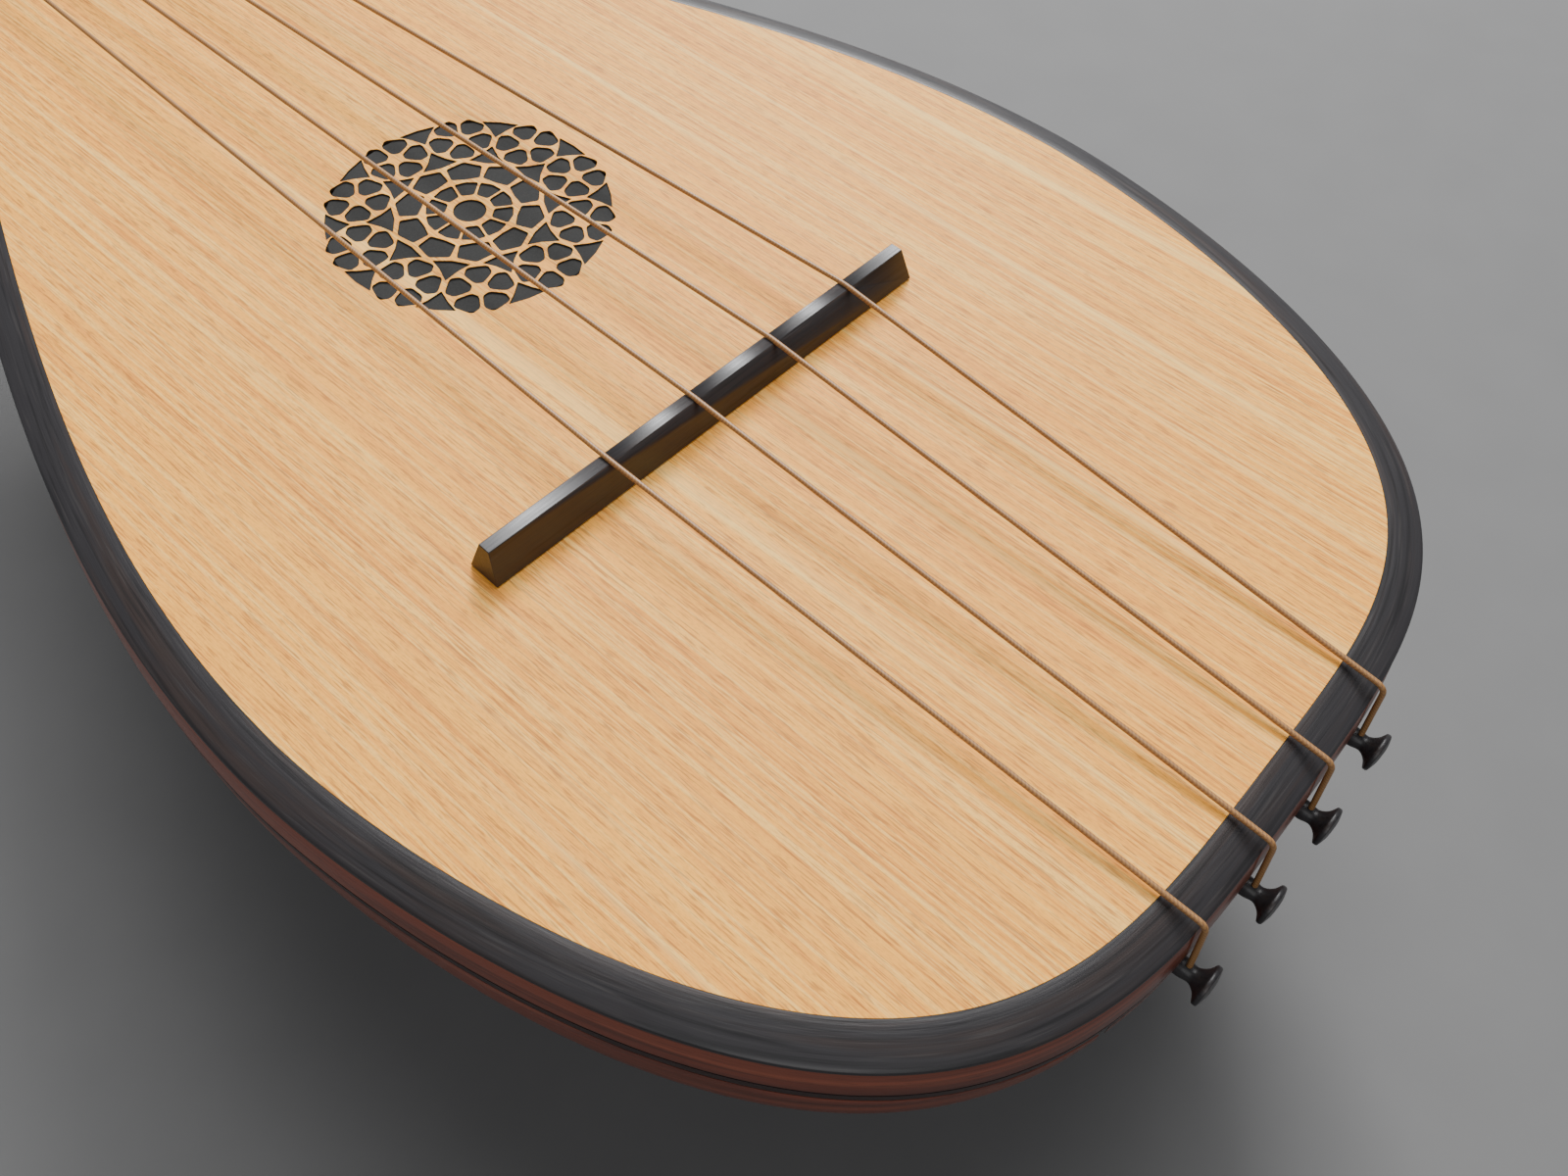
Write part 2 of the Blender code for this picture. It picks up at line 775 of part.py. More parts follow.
def notch(name, place, turn, face):
    radius = STRING_RADIUS + GAP
    length = 0.03
    matrix = Matrix.Translation(place) @ Matrix.Rotation(turn, 4, "Z") @ Matrix.Rotation(math.pi / 2, 4, "X")
    return cylinder(name, radius, radius, length, face, matrix, PIN_SIDES)


def bridge_string_point(index):
    x = string_x(index, BRIDGE_PITCH)
    y = BRIDGE_Y + (x - BRIDGE_SHIFT_X) * math.tan(BRIDGE_TURN)
    return Vector((x, y, string_rest(GAP + BRIDGE_HEIGHT)))


def build_bridge(face):
    """A bar with a sloping front, back and ends: a loft from its foot to its top."""
    rings = []
    for half_length, half, z in (
        (BRIDGE_FOOT_HALF_LENGTH, BRIDGE_FOOT_HALF, 0.0),
        (BRIDGE_TOP_HALF_LENGTH, BRIDGE_TOP_HALF, BRIDGE_HEIGHT),
    ):
        rings.append([
            (-half_length, -half, z), (half_length, -half, z),
            (half_length, half, z), (-half_length, half, z),
        ])
    bridge = loft("bridge", rings, "ebony", face)
    bridge.location = (BRIDGE_SHIFT_X, BRIDGE_Y, GAP)
    bridge.rotation_euler.z = BRIDGE_TURN
    for index in range(STRINGS):
        cutter = notch(f"bridge_notch_{index + 1}", bridge_string_point(index), 0.0, face)
        boolean(bridge, cutter, "DIFFERENCE")


# Hitch pins

def pin_place(index, bowl):
    """Where a pin's axis meets the tail, just under the double line."""
    x = string_x(index, PIN_PITCH) + PIN_ROW_SHIFT
    return Vector((x, rim_y_at(x, bowl) - PIN_STAND, bowl_top(bowl.tail_y) - PIN_DROP))


def rim_y_at(x, bowl):
    """Y of the rim's outer edge at a place across the tail."""
    for near, far in zip(bowl.rim, bowl.rim[1:]):
        if far.x <= abs(x) <= near.x and near.y < WIDEST_Y:
            return near.y + (far.y - near.y) * (near.x - abs(x)) / (near.x - far.x)
    return bowl.tail_y


def build_pins(bowl, face, bored):
    """Turned pins that point out of the tail. Each bored piece gets a hole for every shank."""
    height = PIN_REACH
    flare = PIN_REACH - PIN_DOME - PIN_HEAD_EDGE
    profile = [
        (0.0, height),
        (PIN_HEAD_RADIUS * 0.70, height - PIN_DOME * 0.35),
        (PIN_HEAD_RADIUS, height - PIN_DOME),
        (PIN_HEAD_RADIUS, flare),
        (PIN_HEAD_RADIUS * 0.62, flare * 0.80),
        (PIN_WAIST_RADIUS, flare * 0.52),
        (PIN_NECK_RADIUS, GAP),
        (PIN_SHANK_RADIUS, GAP),
        (PIN_SHANK_RADIUS, -PIN_SHANK_DEPTH),
        (0.0, -PIN_SHANK_DEPTH),
    ]
    outwards = Matrix.Rotation(math.pi / 2.0, 4, "X")
    for index in range(STRINGS):
        place = Matrix.Translation(pin_place(index, bowl)) @ outwards
        pin = turned(f"hitch_pin_{index + 1}", profile, PIN_SIDES, "ebony", face)
        pin.matrix_local = place
        radius = PIN_SHANK_RADIUS + GAP
        length = 2.0 * (PIN_SHANK_DEPTH + GAP)
        bore = cylinder(f"pin_bore_{index + 1}", radius, radius, length, face, place, PIN_SIDES)
        for piece in bored:
            boolean(piece, bore, "DIFFERENCE")


# Pegbox and pegs

def peg_y(index):
    return PEG_FIRST + PEG_PITCH * index


def pegbox_half(y):
    """Outer half width of the pegbox at a place along it."""
    share = (y - ROOT_LENGTH) / (PEGBOX_LENGTH - ROOT_LENGTH)
    return PEGBOX_ROOT_HALF + (PEGBOX_TIP_HALF - PEGBOX_ROOT_HALF) * share


def pegbox_height(y):
    share = (y - ROOT_LENGTH) / (PEGBOX_LENGTH - ROOT_LENGTH)
    return PEGBOX_ROOT_HEIGHT + (PEGBOX_TIP_HEIGHT - PEGBOX_ROOT_HEIGHT) * share


def frame_ring(y, low_x, high_x, low_z, high_z):
    return [(low_x, y, low_z), (high_x, y, low_z), (high_x, y, high_z), (low_x, y, high_z)]


def build_pegbox(pegbox):
    """Root block, two cheeks, floor and finial. Returns the cheeks."""
    cheeks = []
    start = ROOT_LENGTH + GAP
    for name, side in (("pegbox_cheek_bass", -1.0), ("pegbox_cheek_treble", 1.0)):
        rings = []
        for y in (start, PEGBOX_LENGTH):
            outer = side * pegbox_half(y)
            inner = side * (pegbox_half(y) - CHEEK_THICKNESS)
            rings.append(frame_ring(y, min(outer, inner), max(outer, inner), -pegbox_height(y), 0.0))
        cheeks.append(loft(name, rings, "rosewood", pegbox))
    rings = []
    for y in (start, PEGBOX_LENGTH):
        half = pegbox_half(y) - CHEEK_THICKNESS - GAP
        bottom = -pegbox_height(y)
        rings.append(frame_ring(y, -half, half, bottom, bottom + FLOOR_THICKNESS))
    loft("pegbox_floor", rings, "rosewood", pegbox)
    rings = []
    for y, share in (
        (PEGBOX_LENGTH + GAP, 1.0),
        (PEGBOX_LENGTH + FINIAL_LENGTH * 0.5, 0.9),
        (PEGBOX_LENGTH + FINIAL_LENGTH, FINIAL_TAPER),
    ):
        half = PEGBOX_TIP_HALF * share
        middle = -PEGBOX_TIP_HEIGHT / 2.0
        rise = PEGBOX_TIP_HEIGHT / 2.0 * share
        rings.append(frame_ring(y, -half, half, middle - rise, middle + rise))
    loft("pegbox_finial", rings, "ebony", pegbox)
    return cheeks


def build_pegbox_root(face, pegbox):
    """The solid wedge between the neck's end and the pegbox: one side view, carried across."""
    to_face = pegbox.matrix_local
    start_y = pegbox.location.y + GAP
    rings = []
    for half, share in ((-1.0, 0.0), (1.0, 1.0)):
        top = to_face @ Vector((half * PEGBOX_ROOT_HALF, ROOT_LENGTH, -ROOT_DIP))
        bottom = to_face @ Vector((half * PEGBOX_ROOT_HALF, ROOT_LENGTH, -PEGBOX_ROOT_HEIGHT))
        upper = Vector((half * NECK_NUT_HALF, start_y, 0.0))
        lower = Vector((half * NECK_NUT_HALF * 0.72, start_y, -NECK_NUT_DEPTH))
        rings.append([upper, top, bottom, lower])
    loft("pegbox_root", rings, "rosewood", face)


def peg_radius(x, head_x):
    """Radius of the tapered shank at a distance inside the head's end."""
    return PEG_HEAD_RADIUS - PEG_TAPER * abs(head_x - x)


def peg_shank(index):
    """(head end, far end) of one shank across the box, on the side that its head is on."""
    side = -1.0 if index % 2 == 0 else 1.0
    half = pegbox_half(peg_y(index))
    return side * (half + PEG_COLLAR_STANDOFF), -side * (half + PEG_STUB)


def build_peg(index, pegbox, cheeks):
    """One friction peg: a tapered shank with a collar, and a flat thumb piece."""
    head_x, far_x = peg_shank(index)
    side = math.copysign(1.0, head_x)
    length = abs(head_x - far_x)
    axis = add_empty(f"peg_axis_{index + 1}", pegbox, (0.0, peg_y(index), -PEG_AXIS_DEPTH))
    far_radius = PEG_HEAD_RADIUS - PEG_TAPER * length
    collar_top = PEG_COLLAR_LENGTH
    waist = collar_top + PEG_COLLAR_LENGTH
    thumb_middle = waist + PEG_THUMB_LENGTH * 0.42
    profile = [
        (0.0, thumb_middle),
        (PEG_WAIST_RADIUS * 0.9, thumb_middle),
        (PEG_WAIST_RADIUS, waist),
        (PEG_COLLAR_RADIUS * 0.85, collar_top),
        (PEG_COLLAR_RADIUS, collar_top * 0.5),
        (PEG_COLLAR_RADIUS * 0.85, 0.0),
        (PEG_HEAD_RADIUS, 0.0),
        (far_radius, -length),
        (0.0, -length),
    ]
    peg = turned(f"peg_{index + 1}", profile, ROUND_SIDES, "ebony", axis)
    along_x = Matrix.Rotation(side * math.pi / 2.0, 4, "Y")
    peg.matrix_local = Matrix.Translation((head_x, 0.0, 0.0)) @ along_x
    thumb = build_thumb(index, axis, head_x + side * thumb_middle)
    boolean(peg, thumb, "UNION")
    middle = Matrix.Translation(((head_x + far_x) / 2.0, 0.0, 0.0)) @ along_x
    bore = cylinder(
        f"peg_bore_{index + 1}", far_radius + GAP, PEG_HEAD_RADIUS + GAP, length, axis, middle
    )
    for cheek in cheeks:
        boolean(cheek, bore, "DIFFERENCE")
    return axis


def build_thumb(index, axis, x):
    bm = bmesh.new()
    bmesh.ops.create_uvsphere(bm, u_segments=ROUND_SIDES, v_segments=8, radius=0.5)
    size = Vector((PEG_THUMB_LENGTH, PEG_THUMB_WIDTH, PEG_THUMB_THICKNESS))
    for vert in bm.verts:
        vert.co = Vector(vert.co[k] * size[k] for k in range(3))
    name = f"peg_thumb_{index + 1}"
    thumb = add_object(name, mesh_from_bmesh(name, bm), "ebony", axis, CUTTERS_COLLECTION)
    thumb.location.x = x
    return hide(thumb)


def winding_radius(index):
    """Outer radius of the turns of string on one peg."""
    peg = PEG_OF_STRING[index]
    head_x, _ = peg_shank(peg)
    return peg_radius(WINDING_X_OF_STRING[index], head_x) + GAP + WINDING_DEPTH


def build_winding(index, axis):
    """The turns of string on a peg, as one ring round the shank."""
    outer = winding_radius(index)
    head_x, _ = peg_shank(PEG_OF_STRING[index])
    near_x = WINDING_X_OF_STRING[index] + math.copysign(WINDING_LENGTH / 2.0, head_x)
    inner = peg_radius(near_x, head_x) + GAP
    half = WINDING_LENGTH / 2.0
    crown = WINDING_DEPTH * 0.4
    profile = [
        (inner, half),
        (outer - crown, half),
        (outer, half * 0.6),
        (outer, -half * 0.6),
        (outer - crown, -half),
        (inner, -half),
        (inner, half),
    ]
    ring = turned(f"string_winding_{index + 1}", profile, ROUND_SIDES, "gut", axis)
    shift = Matrix.Translation((WINDING_X_OF_STRING[index], 0.0, 0.0))
    ring.matrix_local = shift @ Matrix.Rotation(math.pi / 2.0, 4, "Y")


def build_pegs(pegbox, cheeks):
    for index in range(STRINGS):
        peg = PEG_OF_STRING[index]
        axis = build_peg(peg, pegbox, cheeks)
        build_winding(index, axis)


# Strings

def tail_bend(index, bowl):
    """The string's turn over the rim, from the face down to its pin."""
    pin = pin_place(index, bowl)
    drop_y = pin.y - GAP - STRING_RADIUS - STRING_OVERHANG
    edge_y = drop_y + PIN_STAND + side_flare(pin.y)
    centre = Vector((pin.x, edge_y + STRING_BEND_RADIUS, TAIL_SADDLE_Z + STRING_RADIUS - STRING_BEND_RADIUS))
    bend = []
    for step in range(STRING_BEND_STEPS + 1):
        angle = math.pi / 2.0 * step / STRING_BEND_STEPS
        arm = Vector((0.0, -math.cos(angle), math.sin(angle)))
        bend.append(centre + arm * STRING_BEND_RADIUS)
    end = Vector((pin.x, drop_y, pin.z + PIN_NECK_RADIUS + GAP))
    return [end, *bend]


def string_route(index, bowl, pegbox):
    """Pin, rim, bridge, nut and peg, in the face frame."""
    peg = PEG_OF_STRING[index]
    over_peg = -PEG_AXIS_DEPTH + winding_radius(index) + GAP + STRING_RADIUS
    peg_top = Vector((WINDING_X_OF_STRING[index], peg_y(peg), over_peg))
    nut_x = string_x(index, NUT_PITCH)
    height = string_rest(NUT_HEIGHT)
    front = Vector((nut_x, nut_y(), height))
    back = Vector((nut_x, nut_y() + NUT_THICKNESS, height))
    route = tail_bend(index, bowl)
    return [*route, bridge_string_point(index), front, back, pegbox.matrix_local @ peg_top]


def build_strings(bowl, face, pegbox):
    for index in range(STRINGS):
        route = string_route(index, bowl, pegbox)
        curve = bpy.data.curves.new(f"string_{index + 1}", "CURVE")
        curve.dimensions = "3D"
        curve.bevel_depth = STRING_RADIUS
        curve.bevel_resolution = 2
        curve.use_fill_caps = True
        spline = curve.splines.new("POLY")
        spline.points.add(len(route) - 1)
        for point, place in zip(spline.points, route):
            point.co = (*place, 1.0)
        add_object(f"string_{index + 1}", curve, "gut", face)


# Assembly

def build_oud():
    new_collection(PARTS_COLLECTION)
    new_collection(CUTTERS_COLLECTION)
    stations = half_stations()
    bowl = Bowl(stations)
    tip = Vector((0.0, PEGBOX_LENGTH + FINIAL_LENGTH, PEGBOX_TIP_HEIGHT * (FINIAL_TAPER - 1.0) / 2.0))
    tilt = Matrix.Rotation(-PEGBOX_BEND, 4, "X")
    pegbox_y = nut_y() + NUT_THICKNESS
    high_y = pegbox_y + (tilt @ tip).y
    low_y = min(pin_place(index, bowl).y for index in range(STRINGS)) - PIN_REACH
    depth = bowl_depth(0.5 * (FLAT_TAIL_Y + FLAT_NECK_Y), bowl.tail_y)
    rise = -bowl_top(WIDEST_Y) + depth * level_share()
    face = add_empty("face_frame", None, (0.0, -0.5 * (low_y + high_y), rise))
    pegbox = add_empty("pegbox_frame", face, (0.0, pegbox_y, 0.0), (-PEGBOX_BEND, 0.0, 0.0))
    bpy.context.view_layer.update()
    build_soundboard(stations, face)
    build_rose_backing(face)
    build_rim(stations, face)
    build_ribs(bowl, face)
    build_rib_lines(bowl, face)
    cap = build_tail_cap(bowl, face)
    hollow = build_hollow("block_hollow", bowl, face, WALL + BLOCK_CLEARANCE)
    tail_block = build_blocks(face, hollow)
    build_braces(stations, face)
    build_neck(stations, face)
    build_nut(face)
    build_bridge(face)
    build_pins(bowl, face, [cap, tail_block])
    cheeks = build_pegbox(pegbox)
    build_pegbox_root(face, pegbox)
    build_pegs(pegbox, cheeks)
    build_strings(bowl, face, pegbox)
    bpy.context.view_layer.update()


clear_scene()
build_oud()
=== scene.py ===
"""Visual model of a bowl-backed four-string oud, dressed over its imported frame.

Lengths are metres. Pieces are built in the frame of the instrument's face: its origin is the
centre of the rose on top of the soundboard, +Y runs to the neck, +X to the treble side and +Z
out of the face. Small sizes are written in millimetres times MM.
"""

from __future__ import annotations

import json
import logging
import math
from dataclasses import dataclass, field
from enum import Enum
from typing import Any, Callable, Sequence

import bmesh
import bpy
from mathutils import Matrix, Vector


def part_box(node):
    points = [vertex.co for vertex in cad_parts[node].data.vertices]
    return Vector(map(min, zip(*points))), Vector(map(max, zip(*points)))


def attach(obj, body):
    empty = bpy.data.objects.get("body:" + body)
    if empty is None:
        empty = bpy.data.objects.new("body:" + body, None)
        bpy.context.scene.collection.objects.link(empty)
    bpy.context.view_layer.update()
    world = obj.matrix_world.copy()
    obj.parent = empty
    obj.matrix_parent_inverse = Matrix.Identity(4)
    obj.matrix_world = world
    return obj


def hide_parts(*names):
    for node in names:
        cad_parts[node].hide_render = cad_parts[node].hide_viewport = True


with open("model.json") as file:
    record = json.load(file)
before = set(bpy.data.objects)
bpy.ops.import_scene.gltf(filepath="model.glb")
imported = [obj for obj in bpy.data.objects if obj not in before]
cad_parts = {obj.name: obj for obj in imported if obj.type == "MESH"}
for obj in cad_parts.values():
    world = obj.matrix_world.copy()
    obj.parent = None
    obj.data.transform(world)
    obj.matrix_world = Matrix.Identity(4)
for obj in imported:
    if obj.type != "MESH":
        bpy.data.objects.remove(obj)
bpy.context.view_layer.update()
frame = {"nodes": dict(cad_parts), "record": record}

MM = 0.001
STRINGS = 4
BODY = "body"
GRAIN = "grain"
UP_Y = Matrix.Rotation(math.pi / 2.0, 4, "X")
SPINDLE = 0.02 * MM
EASED_ANGLE = math.radians(30.0)
SHARP_ANGLE = 35.0
FINISH_IOR = 1.5

log = logging.getLogger("oud")


# Finishes

class Grain(Enum):
    """Which way the grain of a piece runs, and so where its pattern coordinates come from."""

    X = "x"
    Y = "y"
    Z = "z"
    STORED = "stored"


def linear(hex_colour: str) -> tuple[float, float, float, float]:
    """The linear RGBA of an sRGB hex colour.

    Args:
        hex_colour: Six hex digits, with or without a leading hash.

    Returns:
        Linear red, green and blue, and an alpha of one.
    """
    digits = hex_colour.lstrip("#")
    channels = []
    for start in (0, 2, 4):
        value = int(digits[start:start + 2], 16) / 255.0
        low = value <= 0.04045
        channels.append(value / 12.92 if low else ((value + 0.055) / 1.055) ** 2.4)
    return (*channels, 1.0)


def wire(
    tree: bpy.types.NodeTree,
    node: bpy.types.Node,
    settings: dict[str, Any] | None = None,
    links: dict[Any, bpy.types.NodeSocket] | None = None,
) -> None:
    """Sets a node's values and feeds its inputs.

    Args:
        tree: The tree that holds the node.
        node: The node.
        settings: Values for its properties, or for the inputs of the same name.
        links: For each input, by name or number, the output that feeds it.
    """
    for name, value in (settings or {}).items():
        if name in node.inputs:
            node.inputs[name].default_value = value
        else:
            setattr(node, name, value)
    for name, output in (links or {}).items():
        tree.links.new(output, node.inputs[name])


def add_node(
    tree: bpy.types.NodeTree,
    kind: str,
    settings: dict[str, Any] | None = None,
    links: dict[Any, bpy.types.NodeSocket] | None = None,
) -> bpy.types.Node:
    """Adds one node with its settings and links.

    Args:
        tree: The tree that gets the node.
        kind: The node's type name.
        settings: Values for its properties, or for the inputs of the same name.
        links: For each input, by name or number, the output that feeds it.

    Returns:
        The new node.
    """
    node = tree.nodes.new(kind)
    wire(tree, node, settings, links)
    return node


def set_ramp(node: bpy.types.Node, stops: Sequence[tuple[float, Any]]) -> None:
    """Gives a colour ramp its stops.

    Args:
        node: The ramp.
        stops: Positions with their linear colours or grey levels.
    """
    ramp = node.color_ramp
    while len(ramp.elements) < len(stops):
        ramp.elements.new(0.5)
    for element, (position, value) in zip(ramp.elements, stops):
        element.position = position
        element.color = value if isinstance(value, tuple) else (value, value, value, 1.0)


def new_material(name: str) -> tuple[bpy.types.Material, bpy.types.NodeTree, bpy.types.Node]:
    """An empty node material.

    Args:
        name: The material's name.

    Returns:
        The material, its tree and its Principled shader.
    """
    material = bpy.data.materials.new(name)
    material.use_nodes = True
    tree = material.node_tree
    return material, tree, tree.nodes["Principled BSDF"]


@dataclass(frozen=True)
class Layer:
    """One layer of a wood's figure: noise drawn out along the grain, then a contrast ramp.

    Attributes:
        across: Width of a feature across the grain, in millimetres.
        along: Its length along the grain, in millimetres.
        low: Noise level where the layer starts.
        high: Noise level where it is full.
        strength: How far it pulls the colour towards its own.
        colour: The colour it pulls to, as sRGB hex.
        detail: Octaves of finer noise.
    """

    across: float
    along: float
    low: float
    high: float
    strength: float
    colour: str
    detail: float = 3.0


@dataclass(frozen=True)
class Wood:
    """A planed, scraped and finished wood, coloured layer on layer over a ground.

    Attributes:
        name: The material's name: the wood and its finish.
        ground: The ground colour, as sRGB hex.
        layers: The figure, from the ground up.
        roughness: Roughness of the finish, with its spread.
        spread: How much the roughness varies along the fibres.
        coat: Weight of the clear coat over the wood.
        coat_roughness: Roughness of that coat.
        wander: How far the grain wanders sideways, in millimetres.
        relief: Height of the fibre texture, in millimetres.
        fibre: Width of one fibre of that texture, in millimetres.
        shine: Strength of the mirror reflection, half for a filled finish, less for open fibres.
    """

    name: str
    ground: str
    layers: tuple[Layer, ...]
    roughness: float
    spread: float
    coat: float
    coat_roughness: float
    wander: float
    relief: float
    fibre: float
    shine: float = 0.5

    def material(self, grain: Grain) -> bpy.types.Material:
        """The node material for one grain direction, made once.

        Args:
            grain: Where the pattern coordinates come from.

        Returns:
            The material.
        """
        name = f"{self.name}_{grain.value}"
        found = bpy.data.materials.get(name)
        if found:
            return found
        material, tree, shader = new_material(name)
        place = self.coordinates(tree, grain)
        colour = add_node(tree, "ShaderNodeRGB").outputs[0]
        colour.default_value = linear(self.ground)
        for number, layer in enumerate(self.layers):
            noise = self.figure(tree, place, layer.across, layer.along, layer.detail, number)
            ramp = add_node(tree, "ShaderNodeMapRange", {
                "From Min": layer.low, "From Max": layer.high, "To Max": layer.strength,
                "interpolation_type": "SMOOTHSTEP",
            }, {"Value": noise})
            colour = add_node(tree, "ShaderNodeMixRGB", {"Color2": linear(layer.colour)}, {
                "Fac": ramp.outputs[0], "Color1": colour,
            }).outputs[0]
        fibres = self.figure(tree, place, self.fibre, self.fibre * 30.0, 2.0, len(self.layers))
        rough = add_node(tree, "ShaderNodeMapRange", {
            "To Min": self.roughness - self.spread, "To Max": self.roughness + self.spread,
        }, {"Value": fibres})
        bump = add_node(tree, "ShaderNodeBump", {
            "Strength": 0.6, "Distance": self.relief * MM,
        }, {"Height": fibres})
        wire(tree, shader, {
            "IOR": FINISH_IOR, "Specular IOR Level": self.shine,
            "Coat Weight": self.coat, "Coat Roughness": self.coat_roughness,
        }, {"Base Color": colour, "Roughness": rough.outputs[0], "Normal": bump.outputs[0]})
        return material

    def coordinates(self, tree: bpy.types.NodeTree, grain: Grain) -> bpy.types.NodeSocket:
        """Pattern coordinates in metres with Y along the grain, wandering a little sideways.

        Args:
            tree: The material's tree.
            grain: Where the coordinates come from.

        Returns:
            The output that holds them.
        """
        if grain is Grain.STORED:
            source = add_node(tree, "ShaderNodeAttribute", {"attribute_name": GRAIN})
            place = source.outputs["Vector"]
        else:
            place = add_node(tree, "ShaderNodeTexCoord").outputs["Object"]
        if grain in (Grain.X, Grain.Z):
            turn = (0.0, 0.0, math.pi / 2.0) if grain is Grain.X else (math.pi / 2.0, 0.0, 0.0)
            turned = add_node(tree, "ShaderNodeMapping", {"Rotation": turn}, {"Vector": place})
            place = turned.outputs[0]
        slow = add_node(tree, "ShaderNodeMapping", {"Scale": (12.0, 3.0, 12.0)}, {"Vector": place})
        noise = add_node(tree, "ShaderNodeTexNoise", {"Scale": 1.0, "Detail": 2.0}, {
            "Vector": slow.outputs[0],
        })
        centred = add_node(tree, "ShaderNodeVectorMath", {"operation": "SUBTRACT"}, {
            0: noise.outputs["Color"],
        })
        centred.inputs[1].default_value = (0.5, 0.5, 0.5)
        sideways = add_node(tree, "ShaderNodeVectorMath", {"operation": "MULTIPLY"}, {
            0: centred.outputs[0],
        })
        sideways.inputs[1].default_value = (self.wander * MM * 2.0, 0.0, self.wander * MM * 2.0)
        moved = add_node(tree, "ShaderNodeVectorMath", {"operation": "ADD"}, {
            0: place, 1: sideways.outputs[0],
        })
        return moved.outputs[0]

    def figure(
        self,
        tree: bpy.types.NodeTree,
        place: bpy.types.NodeSocket,
        across: float,
        along: float,
        detail: float,
        number: int,
    ) -> bpy.types.NodeSocket:
        """Noise drawn out along the grain.

        Args:
            tree: The material's tree.
            place: The pattern coordinates.
            across: Feature width, in millimetres.
            along: Feature length, in millimetres.
            detail: Octaves of finer noise.
            number: Which layer this is, so that no two line up.

        Returns:
            The noise value.
        """
        scale = (1.0 / (across * MM), 1.0 / (along * MM), 1.0 / (across * MM))
        shift = (7.3 * number, 3.1 * number, 5.7 * number)
        mapping = add_node(tree, "ShaderNodeMapping", {"Scale": scale, "Location": shift}, {
            "Vector": place,
        })
        noise = add_node(tree, "ShaderNodeTexNoise", {
            "Scale": 1.0, "Detail": detail, "Roughness": 0.55,
        }, {"Vector": mapping.outputs[0]})
        return noise.outputs[0]


# Spruce, quarter-sawn and thinly varnished: close straight growth lines, long pale streaks and
# short brown flecks, with a soft sheen that doesn't hide the fibres.
SPRUCE = Wood(
    name="spruce_thin_varnish",
    ground="#FFB446",
    layers=(
        Layer(22.0, 700.0, 0.38, 0.68, 0.30, "#F09A38", 2.0),
        Layer(2.6, 260.0, 0.42, 0.64, 0.50, "#EB9638", 3.0),
        Layer(0.9, 160.0, 0.48, 0.62, 0.65, "#FFCF70", 3.0),
        Layer(0.7, 60.0, 0.52, 0.66, 0.55, "#C9772A", 3.0),
        Layer(0.40, 8.0, 0.52, 0.66, 0.55, "#955324", 2.0),
        Layer(0.30, 1.6, 0.45, 0.70, 0.25, "#B56A2A", 2.0),
        Layer(5.0, 520.0, 0.60, 0.74, 0.45, "#FFD880", 2.0),
    ),
    roughness=0.58, spread=0.06, coat=0.0, coat_roughness=0.35,
    wander=0.8, relief=0.05, fibre=0.5, shine=0.2,
)

# Ebony, scraped and oiled: near black with a few brown threads, and fine pores that turn its
# shine grey where light grazes it.
EBONY = Wood(
    name="ebony_oiled",
    ground="#2C2A2C",
    layers=(
        Layer(3.5, 90.0, 0.45, 0.70, 0.45, "#3A2A22", 3.0),
        Layer(1.0, 50.0, 0.48, 0.68, 0.60, "#141314", 3.0),
        Layer(0.5, 26.0, 0.56, 0.72, 0.30, "#4A4644", 2.0),
    ),
    roughness=0.40, spread=0.12, coat=0.0, coat_roughness=0.30,
    wander=1.2, relief=0.10, fibre=0.6,
)

# Rosewood, bent over a hot iron and lacquered: red-brown with wavy dark bands and open pores
# under a clear satin coat.
ROSEWOOD = Wood(
    name="rosewood_satin_lacquer",
    ground="#7C3C28",
    layers=(
        Layer(9.0, 180.0, 0.40, 0.66, 0.75, "#452015", 3.0),
        Layer(2.4, 120.0, 0.48, 0.70, 0.60, "#3A1810", 3.0),
        Layer(5.0, 150.0, 0.56, 0.74, 0.50, "#9A5238", 2.0),
        Layer(0.5, 9.0, 0.60, 0.72, 0.55, "#22100D", 2.0),
    ),
    roughness=0.40, spread=0.07, coat=0.25, coat_roughness=0.22,
    wander=3.0, relief=0.05, fibre=0.5,
)

# Dyed hardwood line, let into the seam and lacquered over: almost black, with a trace of brown.
DARK_LINE = Wood(
    name="dyed_line_lacquered",
    ground="#26120E",
    layers=(
        Layer(0.8, 40.0, 0.45, 0.70, 0.55, "#3A1E17", 2.0),
        Layer(0.4, 8.0, 0.58, 0.72, 0.50, "#120A08", 2.0),
    ),
    roughness=0.42, spread=0.06, coat=0.2, coat_roughness=0.25,
    wander=0.3, relief=0.04, fibre=0.4,
)

# Maple, sawn and left bare inside the body: pale brown, dry and slightly furry.
MAPLE = Wood(
    name="maple_bare",
    ground="#A9825A",
    layers=(
        Layer(4.0, 120.0, 0.40, 0.70, 0.45, "#8B6744", 3.0),
        Layer(0.6, 12.0, 0.55, 0.72, 0.40, "#6E4E32", 2.0),
    ),
    roughness=0.75, spread=0.06, coat=0.0, coat_roughness=0.5,
    wander=0.8, relief=0.08, fibre=0.6,
)


